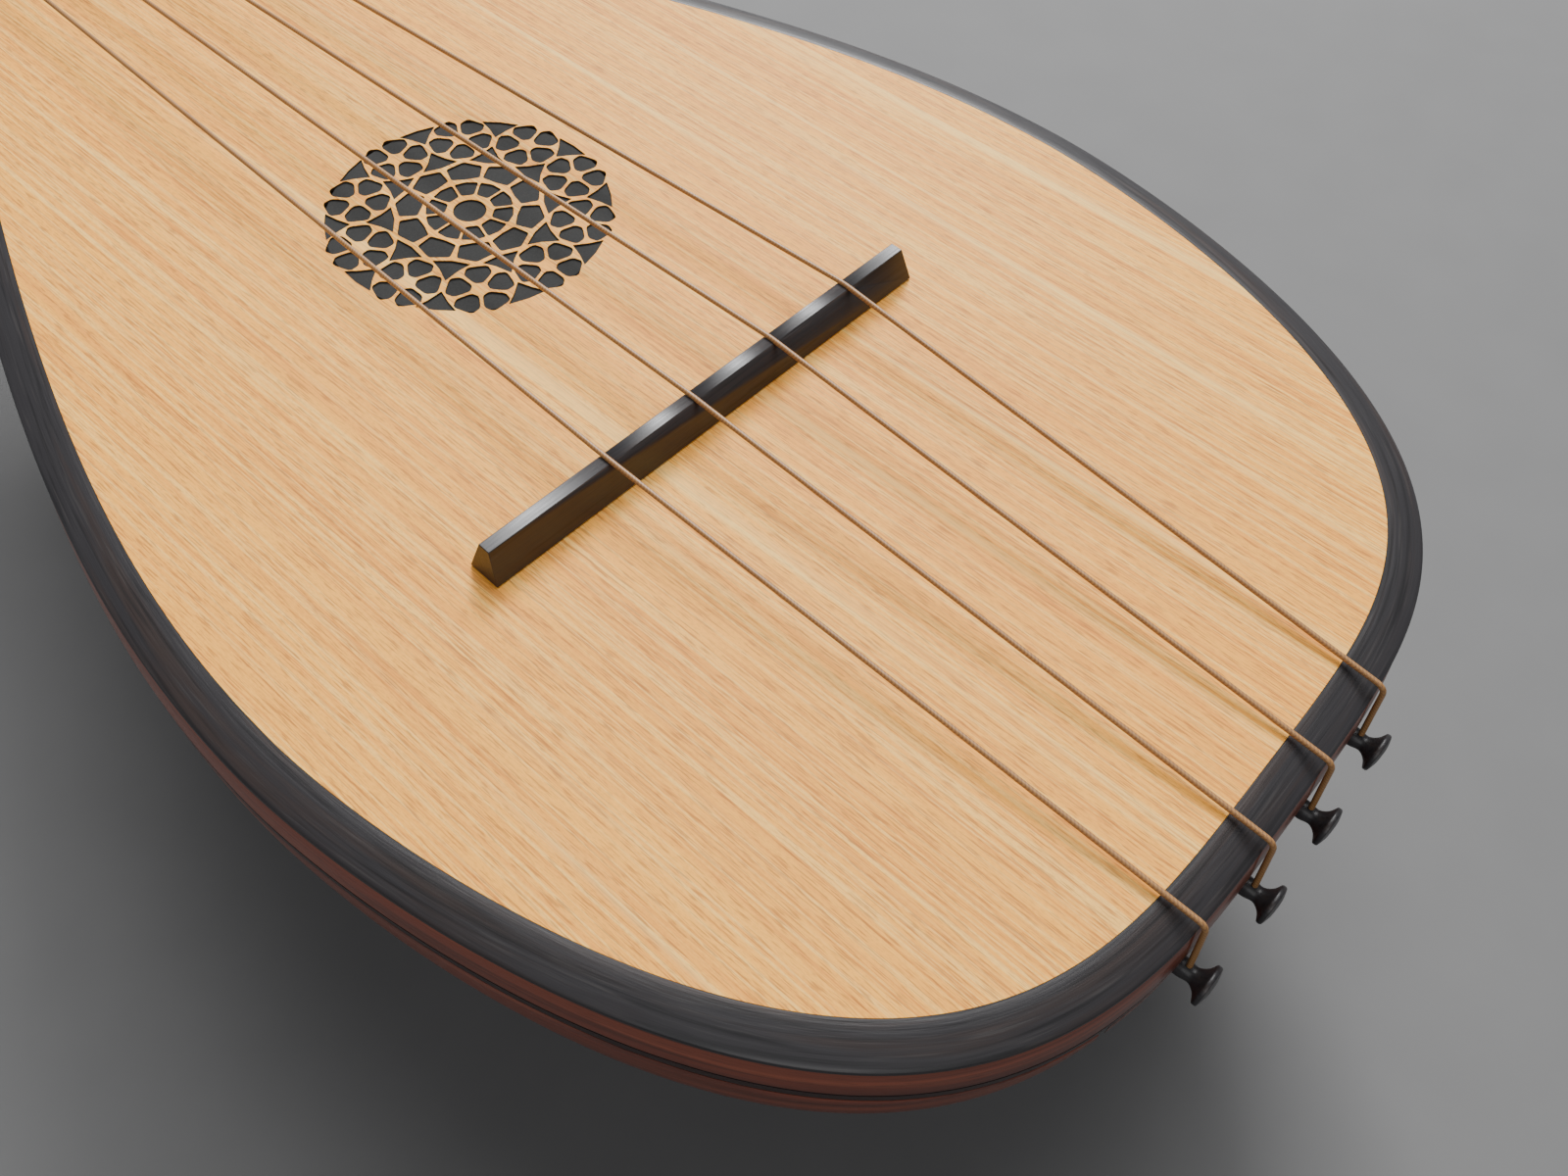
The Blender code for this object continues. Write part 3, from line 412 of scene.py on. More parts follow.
@dataclass(frozen=True)
class Gut:
    """Twisted gut, rubbed with oil: amber brown, with a fine spiral round the string, painted
    darker between the strands as shade.

    Attributes:
        name: The material's name.
        light: Colour of the strand's crown, as sRGB hex.
        dark: Colour between strands: painted shade in the grooves of the twist, and also the random
            mottling, as sRGB hex.
        pitch: Length of one turn of the twist, in millimetres, drawn coarse enough to show.
        roughness: Roughness of the oiled surface.
    """

    name: str = "gut_twisted"
    light: str = "#B98A50"
    dark: str = "#8C6440"
    pitch: float = 0.9
    roughness: float = 0.42

    def material(self) -> bpy.types.Material:
        """The node material, made once.

        Returns:
            The material.
        """
        found = bpy.data.materials.get(self.name)
        if found:
            return found
        material, tree, shader = new_material(self.name)
        place = add_node(tree, "ShaderNodeAttribute", {"attribute_name": GRAIN}).outputs["Vector"]
        turned = add_node(tree, "ShaderNodeMapping", {"Rotation": (0.0, 0.0, math.radians(35.0))}, {
            "Vector": place,
        })
        wave = add_node(tree, "ShaderNodeTexWave", {
            "Scale": 0.314 / (self.pitch * MM), "Distortion": 0.6, "Detail": 1.0,
            "bands_direction": "Y",
        }, {"Vector": turned.outputs[0]})
        noise = add_node(tree, "ShaderNodeTexNoise", {"Scale": 60.0, "Detail": 3.0}, {
            "Vector": place,
        })
        # Painted shade: the grooves between strands are darkened towards the dark colour, and the
        # crowns keep the light one.
        ramp = add_node(tree, "ShaderNodeValToRGB", {}, {"Fac": wave.outputs["Fac"]})
        set_ramp(ramp, [(0.1, linear(self.dark)), (0.65, linear(self.light))])
        tint = add_node(tree, "ShaderNodeMixRGB", {"Color2": linear(self.dark)}, {
            "Fac": noise.outputs[0], "Color1": ramp.outputs[0],
        })
        bump = add_node(tree, "ShaderNodeBump", {"Strength": 0.3, "Distance": 0.04 * MM}, {
            "Height": wave.outputs["Fac"],
        })
        wire(tree, shader, {"Roughness": self.roughness, "IOR": FINISH_IOR}, {
            "Base Color": tint.outputs[0], "Normal": bump.outputs[0],
        })
        return material


@dataclass(frozen=True)
class Speckled:
    """A close-grained finish with soft mottling: bone, cloth or a painted floor.

    Attributes:
        name: The material's name.
        light: Lighter colour, as sRGB hex.
        dark: Darker colour, as sRGB hex.
        size: Size of the mottling, in millimetres.
        roughness: Roughness of the surface.
        relief: Height of its texture, in millimetres.
    """

    name: str
    light: str
    dark: str
    size: float
    roughness: float
    relief: float

    def material(self) -> bpy.types.Material:
        """The node material, made once.

        Returns:
            The material.
        """
        found = bpy.data.materials.get(self.name)
        if found:
            return found
        material, tree, shader = new_material(self.name)
        place = add_node(tree, "ShaderNodeTexCoord").outputs["Object"]
        noise = add_node(tree, "ShaderNodeTexNoise", {
            "Scale": 1.0 / (self.size * MM), "Detail": 4.0,
        }, {"Vector": place})
        ramp = add_node(tree, "ShaderNodeValToRGB", {}, {"Fac": noise.outputs[0]})
        set_ramp(ramp, [(0.35, linear(self.dark)), (0.65, linear(self.light))])
        bump = add_node(tree, "ShaderNodeBump", {"Strength": 0.4, "Distance": self.relief * MM}, {
            "Height": noise.outputs[0],
        })
        wire(tree, shader, {"Roughness": self.roughness}, {
            "Base Color": ramp.outputs[0], "Normal": bump.outputs[0],
        })
        return material


# Bone, sawn and polished: cream, with faint darker clouding.
BONE = Speckled("bone_polished", "#DCD0B4", "#BFAE8A", 2.0, 0.35, 0.02)

# Cotton cloth, dyed and glued behind the rose: dark grey and matt.
BACKING_CLOTH = Speckled("cotton_backing_dyed", "#242423", "#1B1B1A", 0.5, 0.9, 0.05)

# Studio floor, painted: plain pale grey.
FLOOR_PAINT = Speckled("floor_painted", "#6C6C6C", "#6A6A6A", 40.0, 0.8, 0.0)


# Building pieces

GrainAt = Callable[[int, int], tuple[float, float, float]]


def new_mesh_object(
    name: str, bm: bmesh.types.BMesh, smooth_angle: float = SHARP_ANGLE
) -> bpy.types.Object:
    """An object from a bmesh, smooth but for its sharp edges.

    Args:
        name: The object's name.
        bm: The mesh, which is freed.
        smooth_angle: Edges turning more than this many degrees stay sharp.

    Returns:
        The object, in the scene.
    """
    bmesh.ops.recalc_face_normals(bm, faces=bm.faces)
    mesh = bpy.data.meshes.new(name)
    bm.to_mesh(mesh)
    bm.free()
    mesh.shade_smooth()
    mesh.set_sharp_from_angle(angle=math.radians(smooth_angle))
    obj = bpy.data.objects.new(name, mesh)
    bpy.context.scene.collection.objects.link(obj)
    return obj


def loft(
    name: str,
    rings: Sequence[Sequence[Vector]],
    grain_at: GrainAt | None = None,
    band_at: Callable[[int], int] | None = None,
    smooth_angle: float = SHARP_ANGLE,
) -> bpy.types.Object:
    """A closed solid skinned over rings of points.

    Args:
        name: The object's name.
        rings: Rings with the same number of points.
        grain_at: Pattern coordinates for a ring number and a point number.
        band_at: Material number for the strip that starts at a point number.
        smooth_angle: Edges turning more than this many degrees stay sharp.

    Returns:
        The object.
    """
    bm = bmesh.new()
    layer = bm.verts.layers.float_vector.new(GRAIN) if grain_at else None
    loops = []
    for i, ring in enumerate(rings):
        loop = [bm.verts.new(point) for point in ring]
        if layer and grain_at:
            for j, vert in enumerate(loop):
                vert[layer] = grain_at(i, j)
        loops.append(loop)
    count = len(rings[0])
    for near, far in zip(loops, loops[1:]):
        for j in range(count):
            after = (j + 1) % count
            face = bm.faces.new((near[j], near[after], far[after], far[j]))
            face.material_index = band_at(j) if band_at else 0
    bm.faces.new(loops[0])
    bm.faces.new(loops[-1])
    return new_mesh_object(name, bm, smooth_angle)


def full_turn(steps: int) -> list[float]:
    """Angles spread evenly round a circle, from 0."""
    return [2.0 * math.pi * step / steps for step in range(steps)]


def lathe(
    name: str, profile: Sequence[tuple[float, float]], matrix: Matrix, steps: int = 48
) -> bpy.types.Object:
    """A turned solid about its own Z axis.

    Args:
        name: The object's name.
        profile: (radius, height) points from one end to the other, clear of the axis.
        matrix: The object's place.
        steps: Points round the turning.

    Returns:
        The object.
    """
    obj = loft(name, [
        [Vector((radius * math.cos(t), radius * math.sin(t), height)) for t in full_turn(steps)]
        for radius, height in profile
    ])
    obj.matrix_world = matrix
    return obj


def ease(points: Sequence[tuple[float, float]], steps: int = 8) -> list[tuple[float, float]]:
    """A profile drawn as one smooth curve through its points.

    Args:
        points: (radius, height) points.
        steps: Points between each two given ones.

    Returns:
        The finer profile.
    """
    found = []
    last = len(points) - 1
    for i in range(last):
        before = Vector(points[max(i - 1, 0)])
        near = Vector(points[i])
        far = Vector(points[i + 1])
        after = Vector(points[min(i + 2, last)])
        for step in range(steps):
            t = step / steps
            spot = 0.5 * (
                2.0 * near + (far - before) * t
                + (2.0 * before - 5.0 * near + 4.0 * far - after) * t**2
                + (3.0 * near - before - 3.0 * far + after) * t**3
            )
            found.append((max(spot.x, SPINDLE), spot.y))
    found.append((max(points[-1][0], SPINDLE), points[-1][1]))
    return found


def tube(name: str, path: Sequence[Vector], radius: float, steps: int = 14) -> bpy.types.Object:
    """A round cord along a path, with pattern coordinates round and along it.

    Args:
        name: The object's name.
        path: Points along the middle.
        radius: The cord's radius.
        steps: Points round it.

    Returns:
        The object.
    """
    rings = []
    lengths = [0.0]
    side = None
    for i, point in enumerate(path):
        before = path[max(i - 1, 0)]
        after = path[min(i + 1, len(path) - 1)]
        along = (after - before).normalized()
        if side is None:
            side = along.orthogonal().normalized()
        side = (side - along * side.dot(along)).normalized()
        other = along.cross(side)
        if i:
            lengths.append(lengths[-1] + (point - path[i - 1]).length)
        rings.append([
            point + (side * math.cos(t) + other * math.sin(t)) * radius for t in full_turn(steps)
        ])
    around = 2.0 * math.pi * radius / steps
    return loft(name, rings, lambda i, j: (around * min(j, steps - j), lengths[i], 0.0), None, 60.0)


def corner_curve(start: Vector, corner: Vector, end: Vector, steps: int) -> list[Vector]:
    """The curve that rounds a corner.

    Args:
        start: Where it leaves the first side.
        corner: The corner it cuts.
        end: Where it meets the second side.
        steps: Points along it.

    Returns:
        Its points, the ends included.
    """
    shares = [step / steps for step in range(steps + 1)]
    return [start * (1.0 - t) ** 2 + corner * 2.0 * t * (1.0 - t) + end * t**2 for t in shares]


def rounded_path(points: Sequence[Vector], radius: float, steps: int = 6) -> list[Vector]:
    """A path with its corners rounded.

    Args:
        points: The corners.
        radius: How far from each corner the curve starts.
        steps: Points round each corner.

    Returns:
        The path's points.
    """
    path = [points[0]]
    for before, corner, after in zip(points, points[1:], points[2:]):
        reach = min(radius, (before - corner).length * 0.45, (after - corner).length * 0.45)
        start = corner + (before - corner).normalized() * reach
        end = corner + (after - corner).normalized() * reach
        path += corner_curve(start, corner, end, steps)
    path.append(points[-1])
    return path


def bevel(obj: bpy.types.Object, width: float, segments: int = 3) -> None:
    """Eases an object's sharp edges.

    Args:
        obj: The object.
        width: Width of the easing.
        segments: Facets across it.
    """
    modifier = obj.modifiers.new("Eased edges", "BEVEL")
    modifier.width = width
    modifier.segments = segments
    modifier.limit_method = "ANGLE"
    modifier.angle_limit = EASED_ANGLE
    modifier.harden_normals = False


def bake_modifiers(obj: bpy.types.Object) -> None:
    """Turns an object's modifiers into plain mesh.

    Args:
        obj: The object.
    """
    bpy.context.view_layer.update()
    graph = bpy.context.evaluated_depsgraph_get()
    mesh = bpy.data.meshes.new_from_object(obj.evaluated_get(graph))
    obj.modifiers.clear()
    obj.data = mesh


def fit_out(
    obj: bpy.types.Object, body: str, nodes: Sequence[str], *finishes: bpy.types.Material
) -> bpy.types.Object:
    """Gives a piece its materials, the body it rides on and the frame nodes it stands for.

    Args:
        obj: The piece, in place.
        body: The body it rides on.
        nodes: The frame's nodes that it replaces.
        *finishes: Its materials, in slot order.

    Returns:
        The piece.
    """
    obj.data.materials.clear()
    for finish in finishes:
        obj.data.materials.append(finish)
    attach(obj, body)
    if nodes:
        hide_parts(*nodes)
    log.info("%s: stands for %s", obj.name, ", ".join(nodes) or "nothing in the frame")
    return obj


def paint_node(node: str, material: bpy.types.Material) -> None:
    """Gives a frame node that is kept as it is a new material.

    Args:
        node: The node's name.
        material: Its material.
    """
    obj = frame["nodes"][node]
    if not obj.material_slots:
        obj.data.materials.append(material)
    for slot in obj.material_slots:
        slot.material = material
    log.info("%s: kept, in %s", node, material.name)


def box_of(node: str) -> tuple[Vector, Vector]:
    """The lowest and highest corners of a frame node."""
    low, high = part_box(node)
    return Vector(low), Vector(high)


def middle_of(node: str) -> Vector:
    """The middle of a frame node's box."""
    low, high = box_of(node)
    return (low + high) / 2.0


def across_ring(
    y: float, x: tuple[float, float], z: tuple[float, float]
) -> list[Vector]:
    """Four corners of an upright section across the instrument.

    Args:
        y: Where the section is.
        x: Its left and right sides.
        z: Its bottom and top.

    Returns:
        The corners in order.
    """
    return [Vector((x[i], y, z[j])) for i, j in ((0, 0), (1, 0), (1, 1), (0, 1))]


# Outline and bowl

@dataclass
class Outline:
    """The soundboard's edge: two cubic shoulders from the neck, and a blunt round tail."""

    face_half: float = 158.3 * MM
    widest_y: float = -112.0 * MM
    joint_y: float = 279.0 * MM
    tail_y: float = -292.6 * MM
    joint_half: float = 25.9 * MM
    shoulder_reach: float = 80.5 * MM
    throat_reach: float = 223.8 * MM
    throat_slope: float = 0.464
    side_power: float = 1.70
    end_power: float = 3.67
    binding: float = 10.8 * MM
    front_steps: int = 84
    tail_steps: int = 110
    fine_steps: int = 1200

    def origin(self) -> Vector:
        """Where the rose's centre stands in the frame."""
        low, high = box_of("soundboard")
        return Vector(((low.x + high.x) / 2.0, high.y - self.joint_y, high.z))

    def shoulder(self, share: float) -> Vector:
        """A point from the widest place (share 0) to the neck joint (share 1).

        Args:
            share: How far along it is, from 0 to 1.

        Returns:
            The point.
        """
        ends = (
            Vector((self.face_half, self.widest_y)),
            Vector((self.face_half, self.widest_y + self.shoulder_reach)),
            Vector((self.joint_half + self.throat_slope * self.throat_reach,
                    self.joint_y - self.throat_reach)),
            Vector((self.joint_half, self.joint_y)),
        )
        rest = 1.0 - share
        weights = (rest**3, 3.0 * rest**2 * share, 3.0 * rest * share**2, share**3)
        return sum((end * w for end, w in zip(ends, weights)), Vector((0.0, 0.0)))

    def tail(self, share: float) -> Vector:
        """A point from the widest place (share 0) to the tail (share 1).

        Args:
            share: How far along it is, from 0 to 1.

        Returns:
            The point.
        """
        angle = math.pi / 2.0 * (1.0 - (1.0 - share) ** 2)
        along = math.sin(angle) ** (2.0 / self.side_power)
        across = max(math.cos(angle), 0.0) ** (2.0 / self.end_power)
        y = self.widest_y + (self.tail_y - self.widest_y) * along
        return Vector((self.face_half * across, y))

    def half(self) -> list[tuple[Vector, Vector]]:
        """Points with outward directions along the treble half, from the neck to the tail.

        Returns:
            The pairs in order.
        """
        shares = [step / self.fine_steps for step in range(self.fine_steps + 1)]
        front = even_steps([self.shoulder(1.0 - share) for share in shares], self.front_steps)
        tail = even_steps([self.tail(share) for share in shares], self.tail_steps)
        points = front[:-1] + tail
        pairs = []
        for i, point in enumerate(points):
            along = (points[min(i + 1, len(points) - 1)] - points[max(i - 1, 0)]).normalized()
            outward = Vector((-along.y, along.x))
            if i == 0:
                outward = Vector((1.0 / outward.x, 0.0))
            if i == len(points) - 1:
                outward = Vector((0.0, -1.0))
            pairs.append((point, outward))
        return pairs

    def whole(self) -> list[tuple[Vector, Vector]]:
        """The same pairs all the way round, from the treble side to the bass side.

        Returns:
            The pairs in order.
        """
        half = self.half()
        mirrored = [
            (Vector((-point.x, point.y)), Vector((-outward.x, outward.y)))
            for point, outward in reversed(half[:-1])
        ]
        return half + mirrored


def even_steps(points: Sequence[Vector], count: int) -> list[Vector]:
    """Points spread evenly along a polyline.

    Args:
        points: The polyline.
        count: How many equal steps to take.

    Returns:
        count + 1 points, the ends included.
    """
    lengths = [0.0]
    for near, far in zip(points, points[1:]):
        lengths.append(lengths[-1] + (far - near).length)
    found = []
    index = 0
    for step in range(count + 1):
        target = lengths[-1] * step / count
        while index < len(points) - 2 and lengths[index + 1] < target:
            index += 1
        share = (target - lengths[index]) / (lengths[index + 1] - lengths[index])
        found.append(points[index].lerp(points[index + 1], min(share, 1.0)))
    return found


def smooth_step(share: float) -> float:
    """Eases a share between 0 and 1."""
    share = min(max(share, 0.0), 1.0)
    return share * share * (3.0 - 2.0 * share)


@dataclass
class Bowl:
    """The back's outer surface: a half-ellipse section over every station of the rim."""

    outline: Outline
    depth: float = 146.4 * MM
    neck_depth: float = 15.5 * MM
    flat_tail_y: float = -112.0 * MM
    flat_neck_y: float = 64.0 * MM
    tail_power: float = 2.0
    end_power: float = 2.4
    ribs: int = 11
    wall: float = 3.0 * MM
    side_top: float = -4.5 * MM
    side_height: float = 10.3 * MM
    flare: float = 1.5 * MM
    side_neck_height: float = 2.0 * MM
    side_taper_y: float = 90.0 * MM
    line_height: float = 4.0 * MM
    seam: float = 0.3 * MM
    rim: list[Vector] = field(default_factory=list)
    tops: list[float] = field(default_factory=list)

    def __post_init__(self) -> None:
        """Works out the rim from the outline."""
        binding = self.outline.binding
        stations = self.outline.half()
        self.rim = [
            point + outward * (binding + self.flare_at(point.y)) for point, outward in stations
        ]
        self.tops = [self.top(point.y) for point, _ in stations]

    def taper(self, y: float) -> float:
        """0 along the body's side, rising to 1 at the neck joint."""
        return smooth_step((y - self.side_taper_y) / (self.outline.joint_y - self.side_taper_y))

    def flare_at(self, y: float) -> float:
        """How far the side rib's lower edge stands out beyond the binding."""
        return self.flare * (1.0 - self.taper(y))

    def side_bottom(self, y: float) -> float:
        """Height of the side rib's lower edge."""
        height = self.side_height + (self.side_neck_height - self.side_height) * self.taper(y)
        return self.side_top - height

    def line_top(self, y: float) -> float:
        """Height of the double line's upper edge."""
        return self.side_bottom(y) - self.seam

    def top(self, y: float) -> float:
        """Height where the ribs start."""
        return self.line_top(y) - self.line_height - self.seam

    def depth_at(self, y: float) -> float:
        """Depth of the back below its top.

        Args:
            y: The place along the instrument.

        Returns:
            The depth.
        """
        if y > self.flat_neck_y:
            share = (y - self.flat_neck_y) / (self.outline.joint_y - self.flat_neck_y)
            return self.depth + (self.neck_depth - self.depth) * share**2
        if y < self.flat_tail_y:
            share = min((self.flat_tail_y - y) / (self.flat_tail_y - self.rim[-1].y), 1.0)
            return self.depth * (1.0 - share**self.tail_power) ** (1.0 / self.end_power)
        return self.depth

    def level(self) -> float:
        """The share of the full depth where the centre rib lies flat."""
        return math.sin(math.pi * (self.ribs // 2) / self.ribs)

    def point(self, place: int, angle: float, sink: float = 0.0) -> Vector:
        """A point of the surface.

        Args:
            place: Number of the station along the rim.
            angle: Angle across the bowl, from the treble side.
            sink: Distance inside the surface.

        Returns:
            The point in the face's frame.
        """
        rim = self.rim[place]
        depth = self.depth_at(rim.y)
        fall = min(math.sin(angle), self.level())
        spot = Vector((rim.x * math.cos(angle), rim.y, self.tops[place] - depth * fall))
        return spot - self.normal(place, angle) * sink if sink else spot

    def normal(self, place: int, angle: float) -> Vector:
        """Outward direction of the surface at a station and an angle.

        Args:
            place: Number of the station along the rim.
            angle: Angle across the bowl, from the treble side.

        Returns:
            The direction.
        """
        last = len(self.rim) - 1
        along = self.point(min(place + 1, last), angle) - self.point(max(place - 1, 0), angle)
        rim = self.rim[place]
        depth = self.depth_at(rim.y)
        slope = depth * math.cos(angle) if math.sin(angle) < self.level() else 0.0
        across = Vector((-max(rim.x, MM) * math.sin(angle), 0.0, -slope))
        return along.cross(across).normalized()

    def angle_of(self, place: int, angle: float, width: float) -> float:
        """The angle that a width on the surface takes up at this place.

        Args:
            place: Number of the station along the rim.
            angle: Angle across the bowl, from the treble side.
            width: The width.

        Returns:
            The angle.
        """
        rim = self.rim[place]
        depth = self.depth_at(rim.y)
        return width / max(math.hypot(rim.x * math.sin(angle), depth * math.cos(angle)), MM)


# Sub-assemblies

@dataclass
class Rose:
    """The pierced rose: a tenfold pattern worked out from its spokes."""

    radius: float = 45.6 * MM
    eye: float = 0.118
    folds: int = 10
    petals: int = 5
    corner_steps: int = 5
    flower_ring: float = 0.806
    eye_steps: int = 64

    def turn(self, points: Sequence[tuple[float, float]], angle: float) -> list[Vector]:
        """Points given as (sideways, outward) in rose radii, turned to a spoke.

        Args:
            points: The points.
            angle: The spoke's angle from the neck's direction.

        Returns:
            The points in metres.
        """
        found = []
        for sideways, outward in points:
            x = sideways * math.cos(angle) + outward * math.sin(angle)
            y = outward * math.cos(angle) - sideways * math.sin(angle)
            found.append(Vector((x, y)) * self.radius)
        return found

    def soften(self, points: Sequence[Vector], share: float) -> list[Vector]:
        """A closed outline with its corners rounded.

        Args:
            points: The corners in order.
            share: How much of each side the rounding takes, up to a half.

        Returns:
            The finer outline.
        """
        found = []
        count = len(points)
        for i, corner in enumerate(points):
            before = points[i - 1]
            after = points[(i + 1) % count]
            start = corner.lerp(before, share)
            end = corner.lerp(after, share)
            found += corner_curve(start, corner, end, self.corner_steps)
        return found

    def petal(self, number: int, spoke: float) -> list[Vector]:
        """One pebble of a five-petal flower: a kite with its narrow end at the flower's middle.

        Args:
            number: Which petal it is.
            spoke: The flower's angle from the neck's direction.

        Returns:
            Its outline.
        """
        spread = math.pi + 2.0 * math.pi * number / self.petals
        kite = ((-0.030, 0.058), (0.030, 0.058), (0.098, 0.152), (0.074, 0.228), (-0.074, 0.228),
                (-0.098, 0.152))
        points = []
        for sideways, outward in kite:
            x = sideways * math.cos(spread) + outward * math.sin(spread)
            y = outward * math.cos(spread) - sideways * math.sin(spread)
            points.append((x, self.flower_ring + y))
        return self.turn(points, spoke)

    def holes(self) -> list[list[Vector]]:
        """Every hole of the rose.

        Returns:
            The outlines, from the eye outwards on each spoke.
        """
        fold = 2.0 * math.pi / self.folds
        eye = [Vector((math.sin(a), math.cos(a))) for a in full_turn(self.eye_steps)]
        holes = [[point * self.eye * self.radius for point in eye]]
        wedge = ((-0.046, 0.164), (0.046, 0.164), (0.089, 0.294), (0.0, 0.313), (-0.089, 0.294))
        house = ((-0.103, 0.346), (0.0, 0.337), (0.103, 0.346), (0.131, 0.472), (0.0, 0.538),
                 (-0.131, 0.472))
        arrow = ((-0.136, 0.536), (0.0, 0.518), (0.136, 0.536), (0.068, 0.612), (0.0, 0.722),
                 (-0.068, 0.612))
        edge = ((0.0, 0.818), (-0.068, 0.912), (-0.142, 0.990), (0.0, 1.002), (0.142, 0.990),
                (0.068, 0.912))
        for index in range(self.folds):
            spoke = fold * index
            between = spoke + fold / 2.0
            for shape, angle, share in (
                (wedge, spoke, 0.20), (house, spoke, 0.15),
                (arrow, between, 0.10), (edge, between, 0.10),
            ):
                holes.append(self.soften(self.turn(shape, angle), share))
            for number in range(self.petals):
                holes.append(self.soften(self.petal(number, spoke), 0.30))
        return holes


@dataclass
class Soundboard:
    """The face with its pierced rose, and the cloth behind the rose."""

    outline: Outline
    rose: Rose = field(default_factory=Rose)
    thickness: float = 1.9 * MM
    edge_gap: float = 0.06 * MM
    easing: float = 0.12 * MM
    # Painted shade: the dark colour given to the cut walls inside the rose's holes.
    wall_shade: str = "#3A2C20"
    cloth_depth: float = 0.55 * MM
    cloth_sides: int = 96

    def build(self) -> None:
        """Makes the board as a flat plate with a hole for every opening of the rose."""
        origin = self.outline.origin()
        inset = self.edge_gap + self.easing
        edge = [point - outward * inset for point, outward in self.outline.whole()]
        curve = bpy.data.curves.new("soundboard_plate", "CURVE")
        curve.dimensions = "2D"
        curve.fill_mode = "BOTH"
        curve.extrude = self.thickness / 2.0 - self.easing
        curve.bevel_depth = self.easing
        curve.bevel_resolution = 1
        for outline in [edge, *self.rose.holes()]:
            spline = curve.splines.new("POLY")
            spline.points.add(len(outline) - 1)
            for point, spot in zip(spline.points, outline):
                point.co = (spot.x, spot.y, 0.0, 1.0)
            spline.use_cyclic_u = True
        board = bpy.data.objects.new("soundboard_plate", curve)
        bpy.context.scene.collection.objects.link(board)
        board.location = origin - Vector((0.0, 0.0, self.thickness / 2.0))
        fit_out(board, BODY, ["soundboard"], self.spruce_with_wall_shade())
        self.build_cloth(origin)

    def build_cloth(self, origin: Vector) -> None:
        """Makes the cloth disc behind the rose, drawn up close under the board.

        Args:
            origin: Where the rose's centre stands.
        """
        low, high = box_of("rose_backing")
        radius = (high.x - low.x) / 2.0
        top = origin.z - self.cloth_depth
        profile = [(radius, low.z), (radius, high.z), (self.rose.radius, top)]
        foot = Matrix.Translation(Vector((origin.x, origin.y, 0.0)))
        cloth = lathe("rose_cloth", profile, foot, self.cloth_sides)
        fit_out(cloth, BODY, ["rose_backing"], BACKING_CLOTH.material())

    def spruce_with_wall_shade(self) -> bpy.types.Material:
        """Spruce whose cut walls, inside the rose, are darkened with painted shade.

        Returns:
            The material.
        """
        material = SPRUCE.material(Grain.Y)
        tree = material.node_tree
        shader = tree.nodes["Principled BSDF"]
        wood = shader.inputs["Base Color"].links[0].from_socket
        # Painted shade: faces turned away from straight up, the walls inside the rose's holes among
        # them, blend to the dark wall colour.
        normal = add_node(tree, "ShaderNodeNewGeometry").outputs["True Normal"]
        height = add_node(tree, "ShaderNodeSeparateXYZ", {}, {0: normal}).outputs["Z"]
        wall = add_node(tree, "ShaderNodeMapRange", {
            "From Min": 0.25, "From Max": 0.65, "To Min": 1.0, "To Max": 0.0,
        }, {"Value": height})
        shaded_walls = add_node(tree, "ShaderNodeMixRGB", {"Color2": linear(self.wall_shade)}, {
            "Fac": wall.outputs[0], "Color1": wood,
        })
        wire(tree, shader, {}, {"Base Color": shaded_walls.outputs[0]})
        return material


